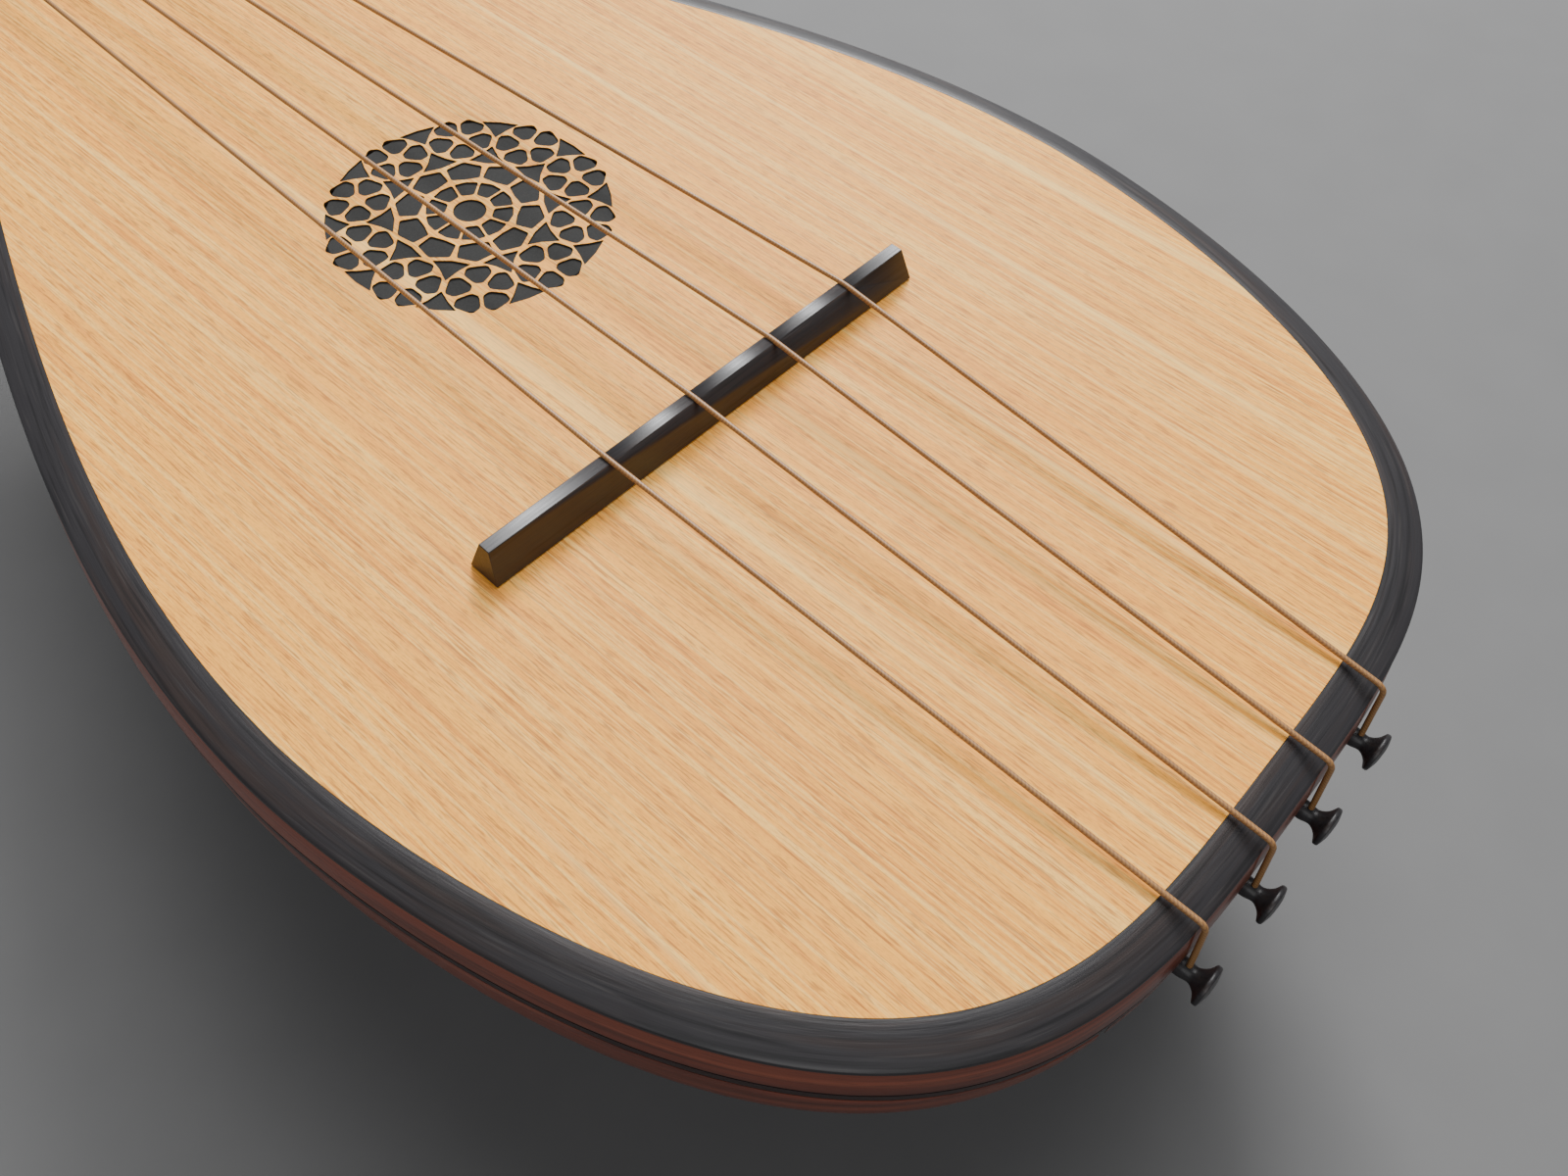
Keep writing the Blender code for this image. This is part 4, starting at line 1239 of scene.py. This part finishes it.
@dataclass
class Rim:
    """Binding, side rib and double line: strips carried round the edge of the face."""

    bowl: Bowl
    binding_drop: float = 3.0 * MM
    binding_edge: float = 1.4 * MM
    round_steps: int = 12
    round_power: float = 1.45
    round_inset: float = 0.25 * MM
    inset_power: int = 8
    round_foot: float = 0.35 * MM
    line_band: float = 0.8 * MM
    line_sink: float = 0.12 * MM
    brown_corner: int = 4
    side_lap: float = 0.15 * MM
    side_easing: float = 0.12 * MM

    def strip(
        self,
        name: str,
        section: Callable[[float], list[tuple[float, float]]],
        band_at: Callable[[int], int] | None = None,
    ) -> bpy.types.Object:
        """A strip swept round the rim, with pattern coordinates round and along it.

        Args:
            name: The object's name.
            section: Gives the (outward, z) corners at a place y.
            band_at: Material number for the strip that starts at a corner.

        Returns:
            The object.
        """
        origin = self.bowl.outline.origin()
        rings = []
        lengths = [0.0]
        stations = self.bowl.outline.whole()
        for i, (point, outward) in enumerate(stations):
            if i:
                lengths.append(lengths[-1] + (point - stations[i - 1][0]).length)
            ring = []
            for offset, z in section(point.y):
                spot = point + outward * offset
                ring.append(origin + Vector((spot.x, spot.y, z)))
            rings.append(ring)
        corners = section(0.0)
        return loft(
            name, rings, lambda i, j: (corners[j][0] + corners[j][1], lengths[i], corners[j][1]),
            band_at, 50.0,
        )

    def binding_section(self, _y: float) -> list[tuple[float, float]]:
        """The binding: flush with the face inside, and rounded over outside.

        Args:
            _y: The place along the instrument, which changes nothing here.

        Returns:
            The (outward, z) corners.
        """
        width = self.bowl.outline.binding
        bottom = -(self.binding_drop + self.binding_edge)
        corners = [(0.0, bottom), (0.0, 0.0)]
        for step in range(1, self.round_steps + 1):
            share = step / self.round_steps
            drop = self.binding_drop * share**self.round_power
            corners.append((width * share - self.round_inset * share**self.inset_power, -drop))
        corners.append((width, -self.binding_drop - self.round_foot))
        corners.append((width, bottom))
        return corners

    def side_section(self, y: float) -> list[tuple[float, float]]:
        """The side rib, leaning out towards its lower edge, its outer edges just eased.

        Args:
            y: The place along the instrument.

        Returns:
            The (outward, z) corners.
        """
        high = self.bowl.outline.binding
        low = high + self.bowl.flare_at(y)
        top = self.bowl.side_top + self.side_lap
        bottom = self.bowl.side_bottom(y)
        wall = self.bowl.wall
        eased = self.side_easing
        return [
            (low - wall, bottom), (high - wall, top), (high - eased, top), (high, top - eased),
            (low, bottom + eased), (low - eased, bottom),
        ]

    def line_section(self, y: float) -> list[tuple[float, float]]:
        """The double line: dark, brown and dark, sunk a little below the side.

        Args:
            y: The place along the instrument.

        Returns:
            The (outward, z) corners.
        """
        outer = self.bowl.outline.binding + self.bowl.flare_at(y)
        inner = outer - self.bowl.wall
        top = self.bowl.line_top(y) + self.bowl.seam
        bottom = self.bowl.top(y)
        sunk = outer - self.line_sink
        return [
            (inner, bottom), (inner, top), (sunk, top), (sunk, top - self.line_band),
            (outer, top - self.line_band), (outer, bottom + self.line_band),
            (sunk, bottom + self.line_band), (sunk, bottom),
        ]

    def build(self) -> None:
        """Makes the three strips."""
        binding = self.strip("rim_binding_strip", self.binding_section)
        fit_out(binding, BODY, ["rim_binding"], EBONY.material(Grain.STORED))
        side = self.strip("side_rib_strip", self.side_section)
        fit_out(side, BODY, ["side_rib"], ROSEWOOD.material(Grain.STORED))
        line = self.strip(
            "side_line_strip", self.line_section, lambda j: 1 if j == self.brown_corner else 0
        )
        dark = DARK_LINE.material(Grain.STORED)
        fit_out(line, BODY, ["side_line"], dark, ROSEWOOD.material(Grain.STORED))


@dataclass
class Back:
    """The bowl: ribs with dark lines between them, and the cap over their ends."""

    bowl: Bowl
    line_width: float = 2.2 * MM
    line_depth: float = 1.3 * MM
    crown_steps: int = 6
    seam_sink: float = 0.25 * MM
    lip_share: float = 0.02
    figure_shift: float = 0.37
    cap_steps: int = 6
    cap_end: float = 2.0 * MM

    def last_station(self) -> int:
        """The last station of the ribs, where the tail cap begins."""
        seam_y = box_of("tail_cap")[1].y - self.bowl.outline.origin().y
        return max(i for i, point in enumerate(self.bowl.rim) if point.y > seam_y)

    def strip(
        self, name: str, low: float, high: float, half_line: float, depth: float, seed: int
    ) -> bpy.types.Object:
        """One rib or line from the neck to the tail cap.

        Args:
            name: The object's name.
            low: Angle of its treble edge, before the seam is taken off.
            high: Angle of its bass edge.
            half_line: Width to take off at each inner edge; negative widens it.
            depth: Thickness of the strip.
            seed: Shifts its figure, so that no two strips match.

        Returns:
            The object.
        """
        bowl = self.bowl
        origin = bowl.outline.origin()
        steps = self.crown_steps
        sinks = [self.seam_sink] + [0.0] * (steps + 1) + [self.seam_sink]
        rings = []
        lengths = [0.0]
        widths = []
        middles = []
        for place in range(self.last_station() + 1):
            start = low + (bowl.angle_of(place, low, half_line) if low > 0.0 else 0.0)
            end = high - (bowl.angle_of(place, high, half_line) if high < math.pi else 0.0)
            lip = (end - start) * self.lip_share
            crown = [start + (end - start) * step / steps for step in range(1, steps)]
            angles = [start, start + lip, *crown, end - lip, end]
            outside = [bowl.point(place, a, sink) for a, sink in zip(angles, sinks)]
            inside = [bowl.point(place, a, depth) for a in reversed(angles)]
            ring = outside + inside
            rings.append([origin + spot for spot in ring])
            middle = bowl.point(place, (start + end) / 2.0)
            if middles:
                lengths.append(lengths[-1] + (middle - middles[-1]).length)
            middles.append(middle)
            bass = len(outside) / 2
            widths.append([
                (spot - middle).length * (1 if k > bass else -1) for k, spot in enumerate(ring)
            ])
        shift = self.figure_shift * seed
        return loft(name, rings, lambda i, j: (widths[i][j] + shift, lengths[i] + shift, 0.0))

    def build(self) -> None:
        """Makes every rib and line, and the cap."""
        count = self.bowl.ribs
        half = self.line_width / 2.0
        for index in range(count):
            low = math.pi * index / count
            high = math.pi * (index + 1) / count
            name = f"rib_{index + 1}"
            rib = self.strip(f"{name}_bent", low, high, half, self.bowl.wall, index)
            fit_out(rib, BODY, [name], ROSEWOOD.material(Grain.STORED))
        for index in range(1, count):
            edge = math.pi * index / count
            name = f"rib_line_{index}"
            line = self.strip(f"{name}_strip", edge, edge, -half, self.line_depth, index)
            fit_out(line, BODY, [name], DARK_LINE.material(Grain.STORED))
        self.build_cap()

    def build_cap(self) -> None:
        """Makes the cap over the rib ends, with its grain across the instrument."""
        origin = self.bowl.outline.origin()
        steps = self.bowl.ribs * self.cap_steps
        rings = []
        for place in range(self.last_station() + 1, len(self.bowl.rim)):
            if self.bowl.rim[place].x < self.cap_end:
                break
            angles = [math.pi * step / steps for step in range(steps + 1)]
            rings.append([origin + self.bowl.point(place, angle) for angle in angles])
        cap = loft("tail_cap_shell", rings)
        fit_out(cap, BODY, ["tail_cap"], ROSEWOOD.material(Grain.X))


@dataclass
class Bridge:
    """The loose bar under the strings: sloping sides, eased edges and a notch per string."""

    foot_half_length: float = 82.9 * MM
    top_half_length: float = 81.1 * MM
    foot_half: float = 5.4 * MM
    top_half: float = 2.0 * MM
    height: float = 10.4 * MM
    turn: float = math.radians(-1.8)
    easing: float = 0.18 * MM
    stand: float = 0.05 * MM
    notch_radius: float = 0.95 * MM
    notch_reach: float = 12.0 * MM
    notch_sides: int = 20

    def build(self, strings: Strings) -> None:
        """Makes the bridge under the strings.

        Args:
            strings: Gives the place of each notch.
        """
        rings = []
        for half_length, half, z in (
            (self.foot_half_length, self.foot_half, self.stand),
            (self.top_half_length, self.top_half, self.height),
        ):
            rings.append([
                Vector((-half_length, -half, z)), Vector((half_length, -half, z)),
                Vector((half_length, half, z)), Vector((-half_length, half, z)),
            ])
        bridge = loft("bridge_bar", rings)
        low, _ = box_of("bridge")
        place = middle_of("bridge")
        place.z = low.z
        bridge.matrix_world = Matrix.Translation(place) @ Matrix.Rotation(self.turn, 4, "Z")
        bevel(bridge, self.easing)
        cutters = []
        for index in range(STRINGS):
            spot = Matrix.Translation(strings.over_bridge(index)) @ UP_Y
            profile = [(self.notch_radius, end * self.notch_reach) for end in (-1.0, 1.0)]
            cutter = lathe(f"notch_{index}", profile, spot, self.notch_sides)
            cut = bridge.modifiers.new("Notch", "BOOLEAN")
            cut.operation = "DIFFERENCE"
            cut.object = cutter
            cutters.append(cutter)
        bake_modifiers(bridge)
        for cutter in cutters:
            bpy.data.objects.remove(cutter, do_unlink=True)
        fit_out(bridge, BODY, ["bridge"], EBONY.material(Grain.X))


@dataclass
class Strings:
    """Four gut strings from the hitch pins over the rim, bridge and nut to the pegs."""

    outline: Outline
    radius: float = 0.8 * MM
    bridge_pitch: float = 31.9 * MM
    nut_pitch: float = 16.8 * MM
    bridge_shift: float = -9.1 * MM
    bridge_turn: float = math.radians(-1.8)
    bridge_y: float = -114.5 * MM
    bridge_top: float = 11.0 * MM
    rest: float = 0.3 * MM
    saddle: float = 0.4 * MM
    bend: float = 2.6 * MM
    lean: float = 2.3 * MM
    pin_rise: float = 2.9 * MM
    ride_share: float = 0.4
    peg_of: tuple[int, ...] = (1, 3, 4, 2)

    def over_bridge(self, index: int) -> Vector:
        """Where a string's middle crosses the bridge.

        Args:
            index: Number of the string, from the bass side.

        Returns:
            The place.
        """
        x = self.bridge_pitch * (index - (STRINGS - 1) / 2.0)
        y = self.bridge_y + (x - self.bridge_shift) * math.tan(self.bridge_turn)
        return self.outline.origin() + Vector((x, y, self.bridge_top))

    def path(self, index: int) -> list[Vector]:
        """The middle of one string, from its hitch pin to its peg.

        Args:
            index: Number of the string, from the bass side.

        Returns:
            The path's points.
        """
        low, high = box_of(f"string_{index + 1}")
        pin = middle_of(f"hitch_pin_{index + 1}")
        drop_y = low.y + self.radius
        edge_z = self.outline.origin().z + self.saddle + self.radius
        start = Vector((pin.x, drop_y, pin.z + self.pin_rise))
        corner = Vector((pin.x, drop_y + self.lean, edge_z))
        nut_low, nut_high = box_of("nut")
        nut_x = self.nut_pitch * (index - (STRINGS - 1) / 2.0)
        front = Vector((nut_x, nut_low.y, nut_high.z + self.rest))
        back = Vector((nut_x, nut_high.y, nut_high.z + self.rest))
        node = f"string_winding_{index + 1}"
        winding = middle_of(node)
        wind_low, wind_high = box_of(node)
        reach = (wind_high.z - wind_low.z) / 2.0 + self.radius * self.ride_share
        aim = Vector((winding.x, high.y - self.radius, winding.z))
        run = (aim - back).normalized()
        lift = Vector((0.0, -run.z, run.y)).normalized()
        corners = [start, corner, self.over_bridge(index), front, back, winding + lift * reach]
        return rounded_path(corners, self.bend)

    def build(self) -> None:
        """Makes the four strings."""
        for index in range(STRINGS):
            name = f"string_{index + 1}"
            string = tube(f"{name}_gut", self.path(index), self.radius)
            fit_out(string, BODY, [name], Gut().material())


@dataclass
class HitchPins:
    """Turned pins in the tail: a slim stem, a flared head and a domed face."""

    neck: float = 2.7 * MM
    waist: float = 2.3 * MM
    head: float = 5.7 * MM
    reach: float = 8.6 * MM
    face: float = 2.2 * MM
    shank: float = 20.0 * MM

    def build(self) -> None:
        """Makes the four pins."""
        for index in range(STRINGS):
            name = f"hitch_pin_{index + 1}"
            place = middle_of(name)
            place.y = box_of(name)[0].y + self.reach
            flare = self.reach - self.face
            flared = ease([
                (self.neck, -2.0 * MM), (self.neck, 0.5 * MM), (self.waist, flare * 0.50),
                (self.head * 0.62, flare * 0.82), (self.head * 0.97, flare),
            ])
            rim = [
                (self.head, flare + 0.3 * MM), (self.head, flare + 1.0 * MM),
                (self.head * 0.96, flare + 1.35 * MM),
            ]
            dome = ease([
                (self.head * 0.80, self.reach - 0.55 * MM),
                (self.head * 0.45, self.reach - 0.12 * MM),
                (SPINDLE, self.reach),
            ])
            profile = [(self.waist, -self.shank), *flared, *rim, *dome]
            pin = lathe(f"{name}_turned", profile, Matrix.Translation(place) @ UP_Y)
            fit_out(pin, BODY, [name], EBONY.material(Grain.Z))


@dataclass
class Neck:
    """Neck with a rounded back, ebony fingerboard and bone nut; the root block is made with the
    pegbox.
    """

    outline: Outline
    joint_half: float = 37.8 * MM
    nut_half: float = 30.0 * MM
    joint_depth: float = 26.2 * MM
    nut_depth: float = 21.5 * MM
    roundness: float = 2.6
    sides: int = 36
    stations: int = 24
    board_inset: float = 1.0 * MM
    board_bed: float = 0.25 * MM
    board_easing: float = 0.5 * MM

    def section(self, y: float, half: float, depth: float) -> list[Vector]:
        """A neck section: flat on top with a full round back.

        Args:
            y: The place along the instrument.
            half: Half its width.
            depth: Its depth.

        Returns:
            Its points.
        """
        ring = []
        power = 2.0 / self.roundness
        for step in range(self.sides + 1):
            angle = math.pi * step / self.sides
            across = math.copysign(abs(math.cos(angle)) ** power, math.cos(angle))
            ring.append(Vector((half * across, y, -depth * max(math.sin(angle), 0.0) ** power)))
        return ring

    def build(self) -> None:
        """Makes the neck and fingerboard, and dresses the nut."""
        origin = self.outline.origin()
        low, high = box_of("neck")
        rings = []
        for step in range(self.stations + 1):
            share = step / self.stations
            foot = origin + Vector((0.0, low.y + (high.y - low.y) * share - origin.y, 0.0))
            half = self.joint_half + (self.nut_half - self.joint_half) * share
            depth = self.joint_depth + (self.nut_depth - self.joint_depth) * share
            rings.append([foot + point for point in self.section(0.0, half, depth)])
        neck = loft("neck_carved", rings)
        fit_out(neck, BODY, ["neck"], ROSEWOOD.material(Grain.Y))
        self.build_fingerboard()
        paint_node("nut", BONE.material())

    def build_fingerboard(self) -> None:
        """Makes the fingerboard, tapered in plan and eased along its edges."""
        low, high = box_of("fingerboard")
        start = (high.x - low.x) / 2.0
        end = self.nut_half - self.board_inset
        height = (low.z - self.board_bed, high.z)
        rings = [
            across_ring(y, (-half, half), height) for half, y in ((start, low.y), (end, high.y))
        ]
        board = loft("fingerboard_plate", rings)
        bevel(board, self.board_easing)
        fit_out(board, BODY, ["fingerboard"], EBONY.material(Grain.Y))


@dataclass
class Pegbox:
    """The bent-back box: root, cheeks, floor and finial; its four friction pegs are made by Pegs.
    """

    outline: Outline
    bend: float = math.radians(40.0)
    root: float = 20.0 * MM
    root_dip: float = 3.0 * MM
    length: float = 132.0 * MM
    root_half: float = 30.0 * MM
    tip_half: float = 18.5 * MM
    root_height: float = 24.0 * MM
    tip_height: float = 20.0 * MM
    cheek: float = 5.0 * MM
    floor: float = 4.0 * MM
    finial: float = 12.0 * MM
    finial_taper: float = 0.55
    neck_half: float = 30.0 * MM
    neck_depth: float = 21.5 * MM
    neck_lower_share: float = 0.72
    finial_steps: int = 12
    gap: float = 0.06 * MM
    easing: float = 0.8 * MM

    def matrix(self) -> Matrix:
        """The pegbox's own frame: +Y along the box, +Z out of its open front.

        Returns:
            Its place in the shared frame.
        """
        origin = self.outline.origin()
        place = Vector((0.0, box_of("nut")[1].y, origin.z))
        return Matrix.Translation(place) @ Matrix.Rotation(-self.bend, 4, "X")

    def half_at(self, y: float) -> float:
        """Outer half width at a place along the box."""
        share = (y - self.root) / (self.length - self.root)
        return self.root_half + (self.tip_half - self.root_half) * share

    def height_at(self, y: float) -> float:
        """Height of the cheeks at a place along the box."""
        share = (y - self.root) / (self.length - self.root)
        return self.root_height + (self.tip_height - self.root_height) * share

    def build(self) -> None:
        """Makes the box: cheeks, floor, finial and root."""
        wood = ROSEWOOD.material(Grain.Y)
        ends = (self.root + self.gap, self.length)
        for name, side in (("pegbox_cheek_bass", -1.0), ("pegbox_cheek_treble", 1.0)):
            rings = []
            for y in ends:
                outer = side * self.half_at(y)
                inner = side * (self.half_at(y) - self.cheek)
                x = (min(outer, inner), max(outer, inner))
                rings.append(across_ring(y, x, (-self.height_at(y), 0.0)))
            self.finish(loft(f"{name}_sawn", rings), name, wood)
        rings = []
        for y in ends:
            half = self.half_at(y) - self.cheek - self.gap
            bottom = -self.height_at(y)
            rings.append(across_ring(y, (-half, half), (bottom + self.gap, bottom + self.floor)))
        self.finish(loft("pegbox_floor_sawn", rings), "pegbox_floor", wood)
        self.build_finial()
        self.build_root(wood)

    def build_root(self, wood: bpy.types.Material) -> None:
        """Makes the block that joins the neck's end to the box.

        Args:
            wood: Its material.
        """
        matrix = self.matrix()
        inverse = matrix.inverted()
        start = matrix.translation
        rings = []
        for side in (-1.0, 1.0):
            lower_half = self.neck_half * self.neck_lower_share
            upper = inverse @ (start + Vector((side * self.neck_half, self.gap, 0.0)))
            lower = inverse @ (start + Vector((side * lower_half, self.gap, -self.neck_depth)))
            rings.append([
                upper, Vector((side * self.root_half, self.root, -self.root_dip)),
                Vector((side * self.root_half, self.root, -self.root_height)), lower,
            ])
        self.finish(loft("pegbox_root_carved", rings), "pegbox_root", wood)

    def build_finial(self) -> None:
        """Makes the ebony end, rounded down from the box's section."""
        rings = []
        for step in range(self.finial_steps + 1):
            share = step / self.finial_steps
            scale = 1.0 - (1.0 - self.finial_taper) * share**2
            half = self.tip_half * scale
            rise = self.tip_height / 2.0 * scale
            middle = -self.tip_height / 2.0
            y = self.length + self.gap + (self.finial - self.gap) * share
            rings.append(across_ring(y, (-half, half), (middle - rise, middle + rise)))
        self.finish(loft("pegbox_finial_carved", rings), "pegbox_finial", EBONY.material(Grain.Y))

    def finish(self, obj: bpy.types.Object, node: str, material: bpy.types.Material) -> None:
        """Places a piece of the box, eases it and fits it out.

        Args:
            obj: The piece, in the box's own frame.
            node: The frame node it stands for.
            material: Its material.
        """
        obj.matrix_world = self.matrix()
        bevel(obj, self.easing)
        fit_out(obj, BODY, [node], material)


@dataclass
class Pegs:
    """Four friction pegs and the turns of string on them."""

    strings: Strings
    pegbox: Pegbox
    head: float = 3.7 * MM
    taper: float = 0.012
    stub: float = 3.0 * MM
    standoff: float = 2.0 * MM
    collar: float = 5.8 * MM
    collar_height: float = 4.0 * MM
    lip_share: float = 0.86
    throat: float = 3.2 * MM
    waist: float = 3.0 * MM
    waist_height: float = 8.0 * MM
    thumb_long: float = 24.0 * MM
    thumb_wide: float = 24.0 * MM
    thumb_thick: float = 6.6 * MM
    winding: float = 8.0 * MM
    sides: int = 40

    def axis(self, number: int) -> Vector:
        """Where a peg turns, from the frame's record.

        Args:
            number: Number of the peg.

        Returns:
            The place on its axis.
        """
        for joint in frame["record"]["behaviour"]["joints"]:
            if joint["child"] == f"peg_{number}":
                return Vector(joint["pos_m"])
        raise ValueError(f"no joint turns peg {number}")

    def stations(self, length: float) -> list[tuple[float, float, float]]:
        """(height, half width, half thickness) of the peg, from its far end to its thumb piece.

        Args:
            length: Length of the shank inside the collar.

        Returns:
            The stations, in order.
        """
        far = self.head - self.taper * length
        lip = self.collar * self.lip_share
        found = [
            (-length, far * self.lip_share, far * self.lip_share), (-length + 0.5 * MM, far, far),
            (-SPINDLE, self.head, self.head), (0.0, lip, lip),
        ]
        for step in range(1, 12):
            angle = math.pi * step / 12
            radius = self.collar * (self.lip_share + (1.0 - self.lip_share) * math.sin(angle))
            found.append((self.collar_height * step / 12, radius, radius))
        for step in range(1, 8):
            radius = lip + (self.waist - lip) * smooth_step(step / 7)
            found.append((self.collar_height + self.throat * step / 7, radius, radius))
        centre = self.waist_height + self.thumb_long * 0.42
        half = self.thumb_long / 2.0
        for step in range(2, 20):
            angle = math.pi * step / 20
            height = centre - half * math.cos(angle)
            if height < found[-1][0]:
                continue
            least = self.waist if height < centre else 0.0
            wide = max(self.thumb_wide / 2.0 * math.sin(angle), least)
            thick = max(self.thumb_thick / 2.0 * math.sin(angle) ** 0.8, 0.0)
            blend = smooth_step((height - self.waist_height) / (3.0 * MM))
            thick = thick * blend + self.waist * (1.0 - blend) if height < centre else thick
            found.append((height, wide, thick))
        return found

    def build(self) -> None:
        """Makes each peg and its winding."""
        for index in range(STRINGS):
            number = self.strings.peg_of[index]
            name = f"peg_{number}"
            axis = self.axis(number)
            side = -1.0 if number % 2 else 1.0
            head_y = (self.pegbox.matrix().inverted() @ axis).y
            head_x = self.pegbox.half_at(head_y) + self.standoff
            far_x = self.pegbox.half_at(head_y) + self.stub
            rings = []
            for height, wide, thick in self.stations(head_x + far_x):
                rings.append([
                    Vector((thick * math.cos(t), wide * math.sin(t), height))
                    for t in full_turn(self.sides)
                ])
            peg = loft(f"{name}_turned", rings)
            turn = Matrix.Rotation(side * math.pi / 2.0, 4, "Y")
            peg.matrix_world = Matrix.Translation(axis + Vector((side * head_x, 0.0, 0.0))) @ turn
            fit_out(peg, name, [name], EBONY.material(Grain.Z))
            self.build_winding(index, name, axis, side * head_x)

    def build_winding(self, index: int, body: str, axis: Vector, head_x: float) -> None:
        """Winds the string's turns on its peg.

        Args:
            index: Number of the string.
            body: The peg's body.
            axis: Where the peg turns.
            head_x: Where the shank's thick end is, from the axis.
        """
        node = f"string_winding_{index + 1}"
        middle = middle_of(node)
        radius = self.strings.radius
        turns = int(self.winding / (2.0 * radius))
        steps = 28
        path = []
        for step in range((turns - 1) * steps + 1):
            angle = 2.0 * math.pi * step / steps
            x = middle.x - self.winding / 2.0 + radius + 2.0 * radius * step / steps
            shank = self.head - self.taper * abs(head_x - (x - axis.x))
            reach = shank + radius + 0.05 * MM
            y = axis.y + reach * math.sin(angle)
            z = axis.z + reach * math.cos(angle)
            path.append(Vector((x, y, z)))
        coil = tube(f"{node}_coil", path, radius, 10)
        fit_out(coil, body, [node], Gut().material())


@dataclass
class Inside:
    """Braces, blocks and lining: kept as the frame has them, in their own woods."""

    braces: int = 5

    def dress(self) -> None:
        """Gives each inside piece its wood."""
        for number in range(1, self.braces + 1):
            paint_node(f"brace_{number}", SPRUCE.material(Grain.X))
        paint_node("soundboard_lining", MAPLE.material(Grain.Y))
        paint_node("neck_block", MAPLE.material(Grain.Y))
        paint_node("tail_block", MAPLE.material(Grain.X))


@dataclass
class Studio:
    """Floor, soft lights and the camera."""

    outline: Outline
    rose_radius: float = 45.0 * MM
    azimuth: float = -0.8942
    elevation: float = 0.9673
    roll: float = 0.0603
    aim: tuple[float, float] = (-0.9148, -3.8135)
    distance: float = 7.8305
    lens: float = 30.86
    sensor: float = 36.0
    floor_half: float = 6.0
    floor_gap: float = 0.5 * MM
    air: str = "#C8CCD0"
    air_strength: float = 0.35

    def build(self) -> None:
        """Sets the floor, the lights, the surroundings and the camera."""
        bm = bmesh.new()
        bmesh.ops.create_grid(bm, x_segments=1, y_segments=1, size=self.floor_half)
        floor = new_mesh_object("floor", bm)
        floor.location.z = -self.floor_gap
        floor.data.materials.append(FLOOR_PAINT.material())
        self.add_light("key_softbox", (2.40, 1.90, 2.40), 1.2, 205.0)
        self.add_light("fill_softbox", (-2.6, -2.0, 2.2), 2.6, 36.0)
        self.add_light("top_softbox", (1.10, 0.85, 3.00), 2.2, 100.0)
        world = bpy.data.worlds.new("studio_air")
        bpy.context.scene.world = world
        world.use_nodes = True
        background = world.node_tree.nodes["Background"]
        wire(world.node_tree, background, {
            "Color": linear(self.air), "Strength": self.air_strength,
        })
        self.add_camera()

    def add_light(
        self, name: str, place: tuple[float, float, float], size: float, power: float
    ) -> None:
        """Adds one square softbox turned to the middle of the body.

        Args:
            name: The light's name.
            place: Where it stands, in metres.
            size: Its side.
            power: Its power in watts.
        """
        light = bpy.data.lights.new(name, "AREA")
        light.size = size
        light.energy = power
        obj = bpy.data.objects.new(name, light)
        bpy.context.scene.collection.objects.link(obj)
        aim = self.outline.origin() + Vector((0.0, self.aim[1] * self.rose_radius, 0.0))
        obj.location = aim + Vector(place)
        obj.rotation_euler = (-Vector(place)).to_track_quat("-Z", "Y").to_euler()

    def add_camera(self) -> None:
        """Adds the camera, above the bass side of the tail."""
        back = Vector((
            math.sin(self.azimuth) * math.cos(self.elevation),
            -math.cos(self.azimuth) * math.cos(self.elevation),
            math.sin(self.elevation),
        ))
        right = Vector((math.cos(self.azimuth), math.sin(self.azimuth), 0.0))
        basis = Matrix((right, back.cross(right), back)).transposed()
        aim = self.outline.origin() + Vector((*self.aim, 0.0)) * self.rose_radius
        camera = bpy.data.cameras.new("view")
        camera.lens = self.lens
        camera.sensor_width = self.sensor
        camera.clip_start = 10.0 * MM
        obj = bpy.data.objects.new("view", camera)
        bpy.context.scene.collection.objects.link(obj)
        place = Matrix.Translation(aim + back * self.distance * self.rose_radius)
        obj.matrix_world = place @ basis.to_4x4() @ Matrix.Rotation(self.roll, 4, "Z")
        bpy.context.scene.camera = obj


def main() -> None:
    """Builds the sub-assemblies in order."""
    logging.basicConfig(level=logging.INFO, format="%(name)s %(message)s")
    outline = Outline()
    bowl = Bowl(outline)
    strings = Strings(outline)
    pegbox = Pegbox(outline)
    Soundboard(outline).build()
    Rim(bowl).build()
    Back(bowl).build()
    Inside().dress()
    strings.build()
    Bridge().build(strings)
    HitchPins().build()
    Neck(outline).build()
    pegbox.build()
    Pegs(strings, pegbox).build()
    Studio(outline).build()


if __name__ == "__main__":
    main()
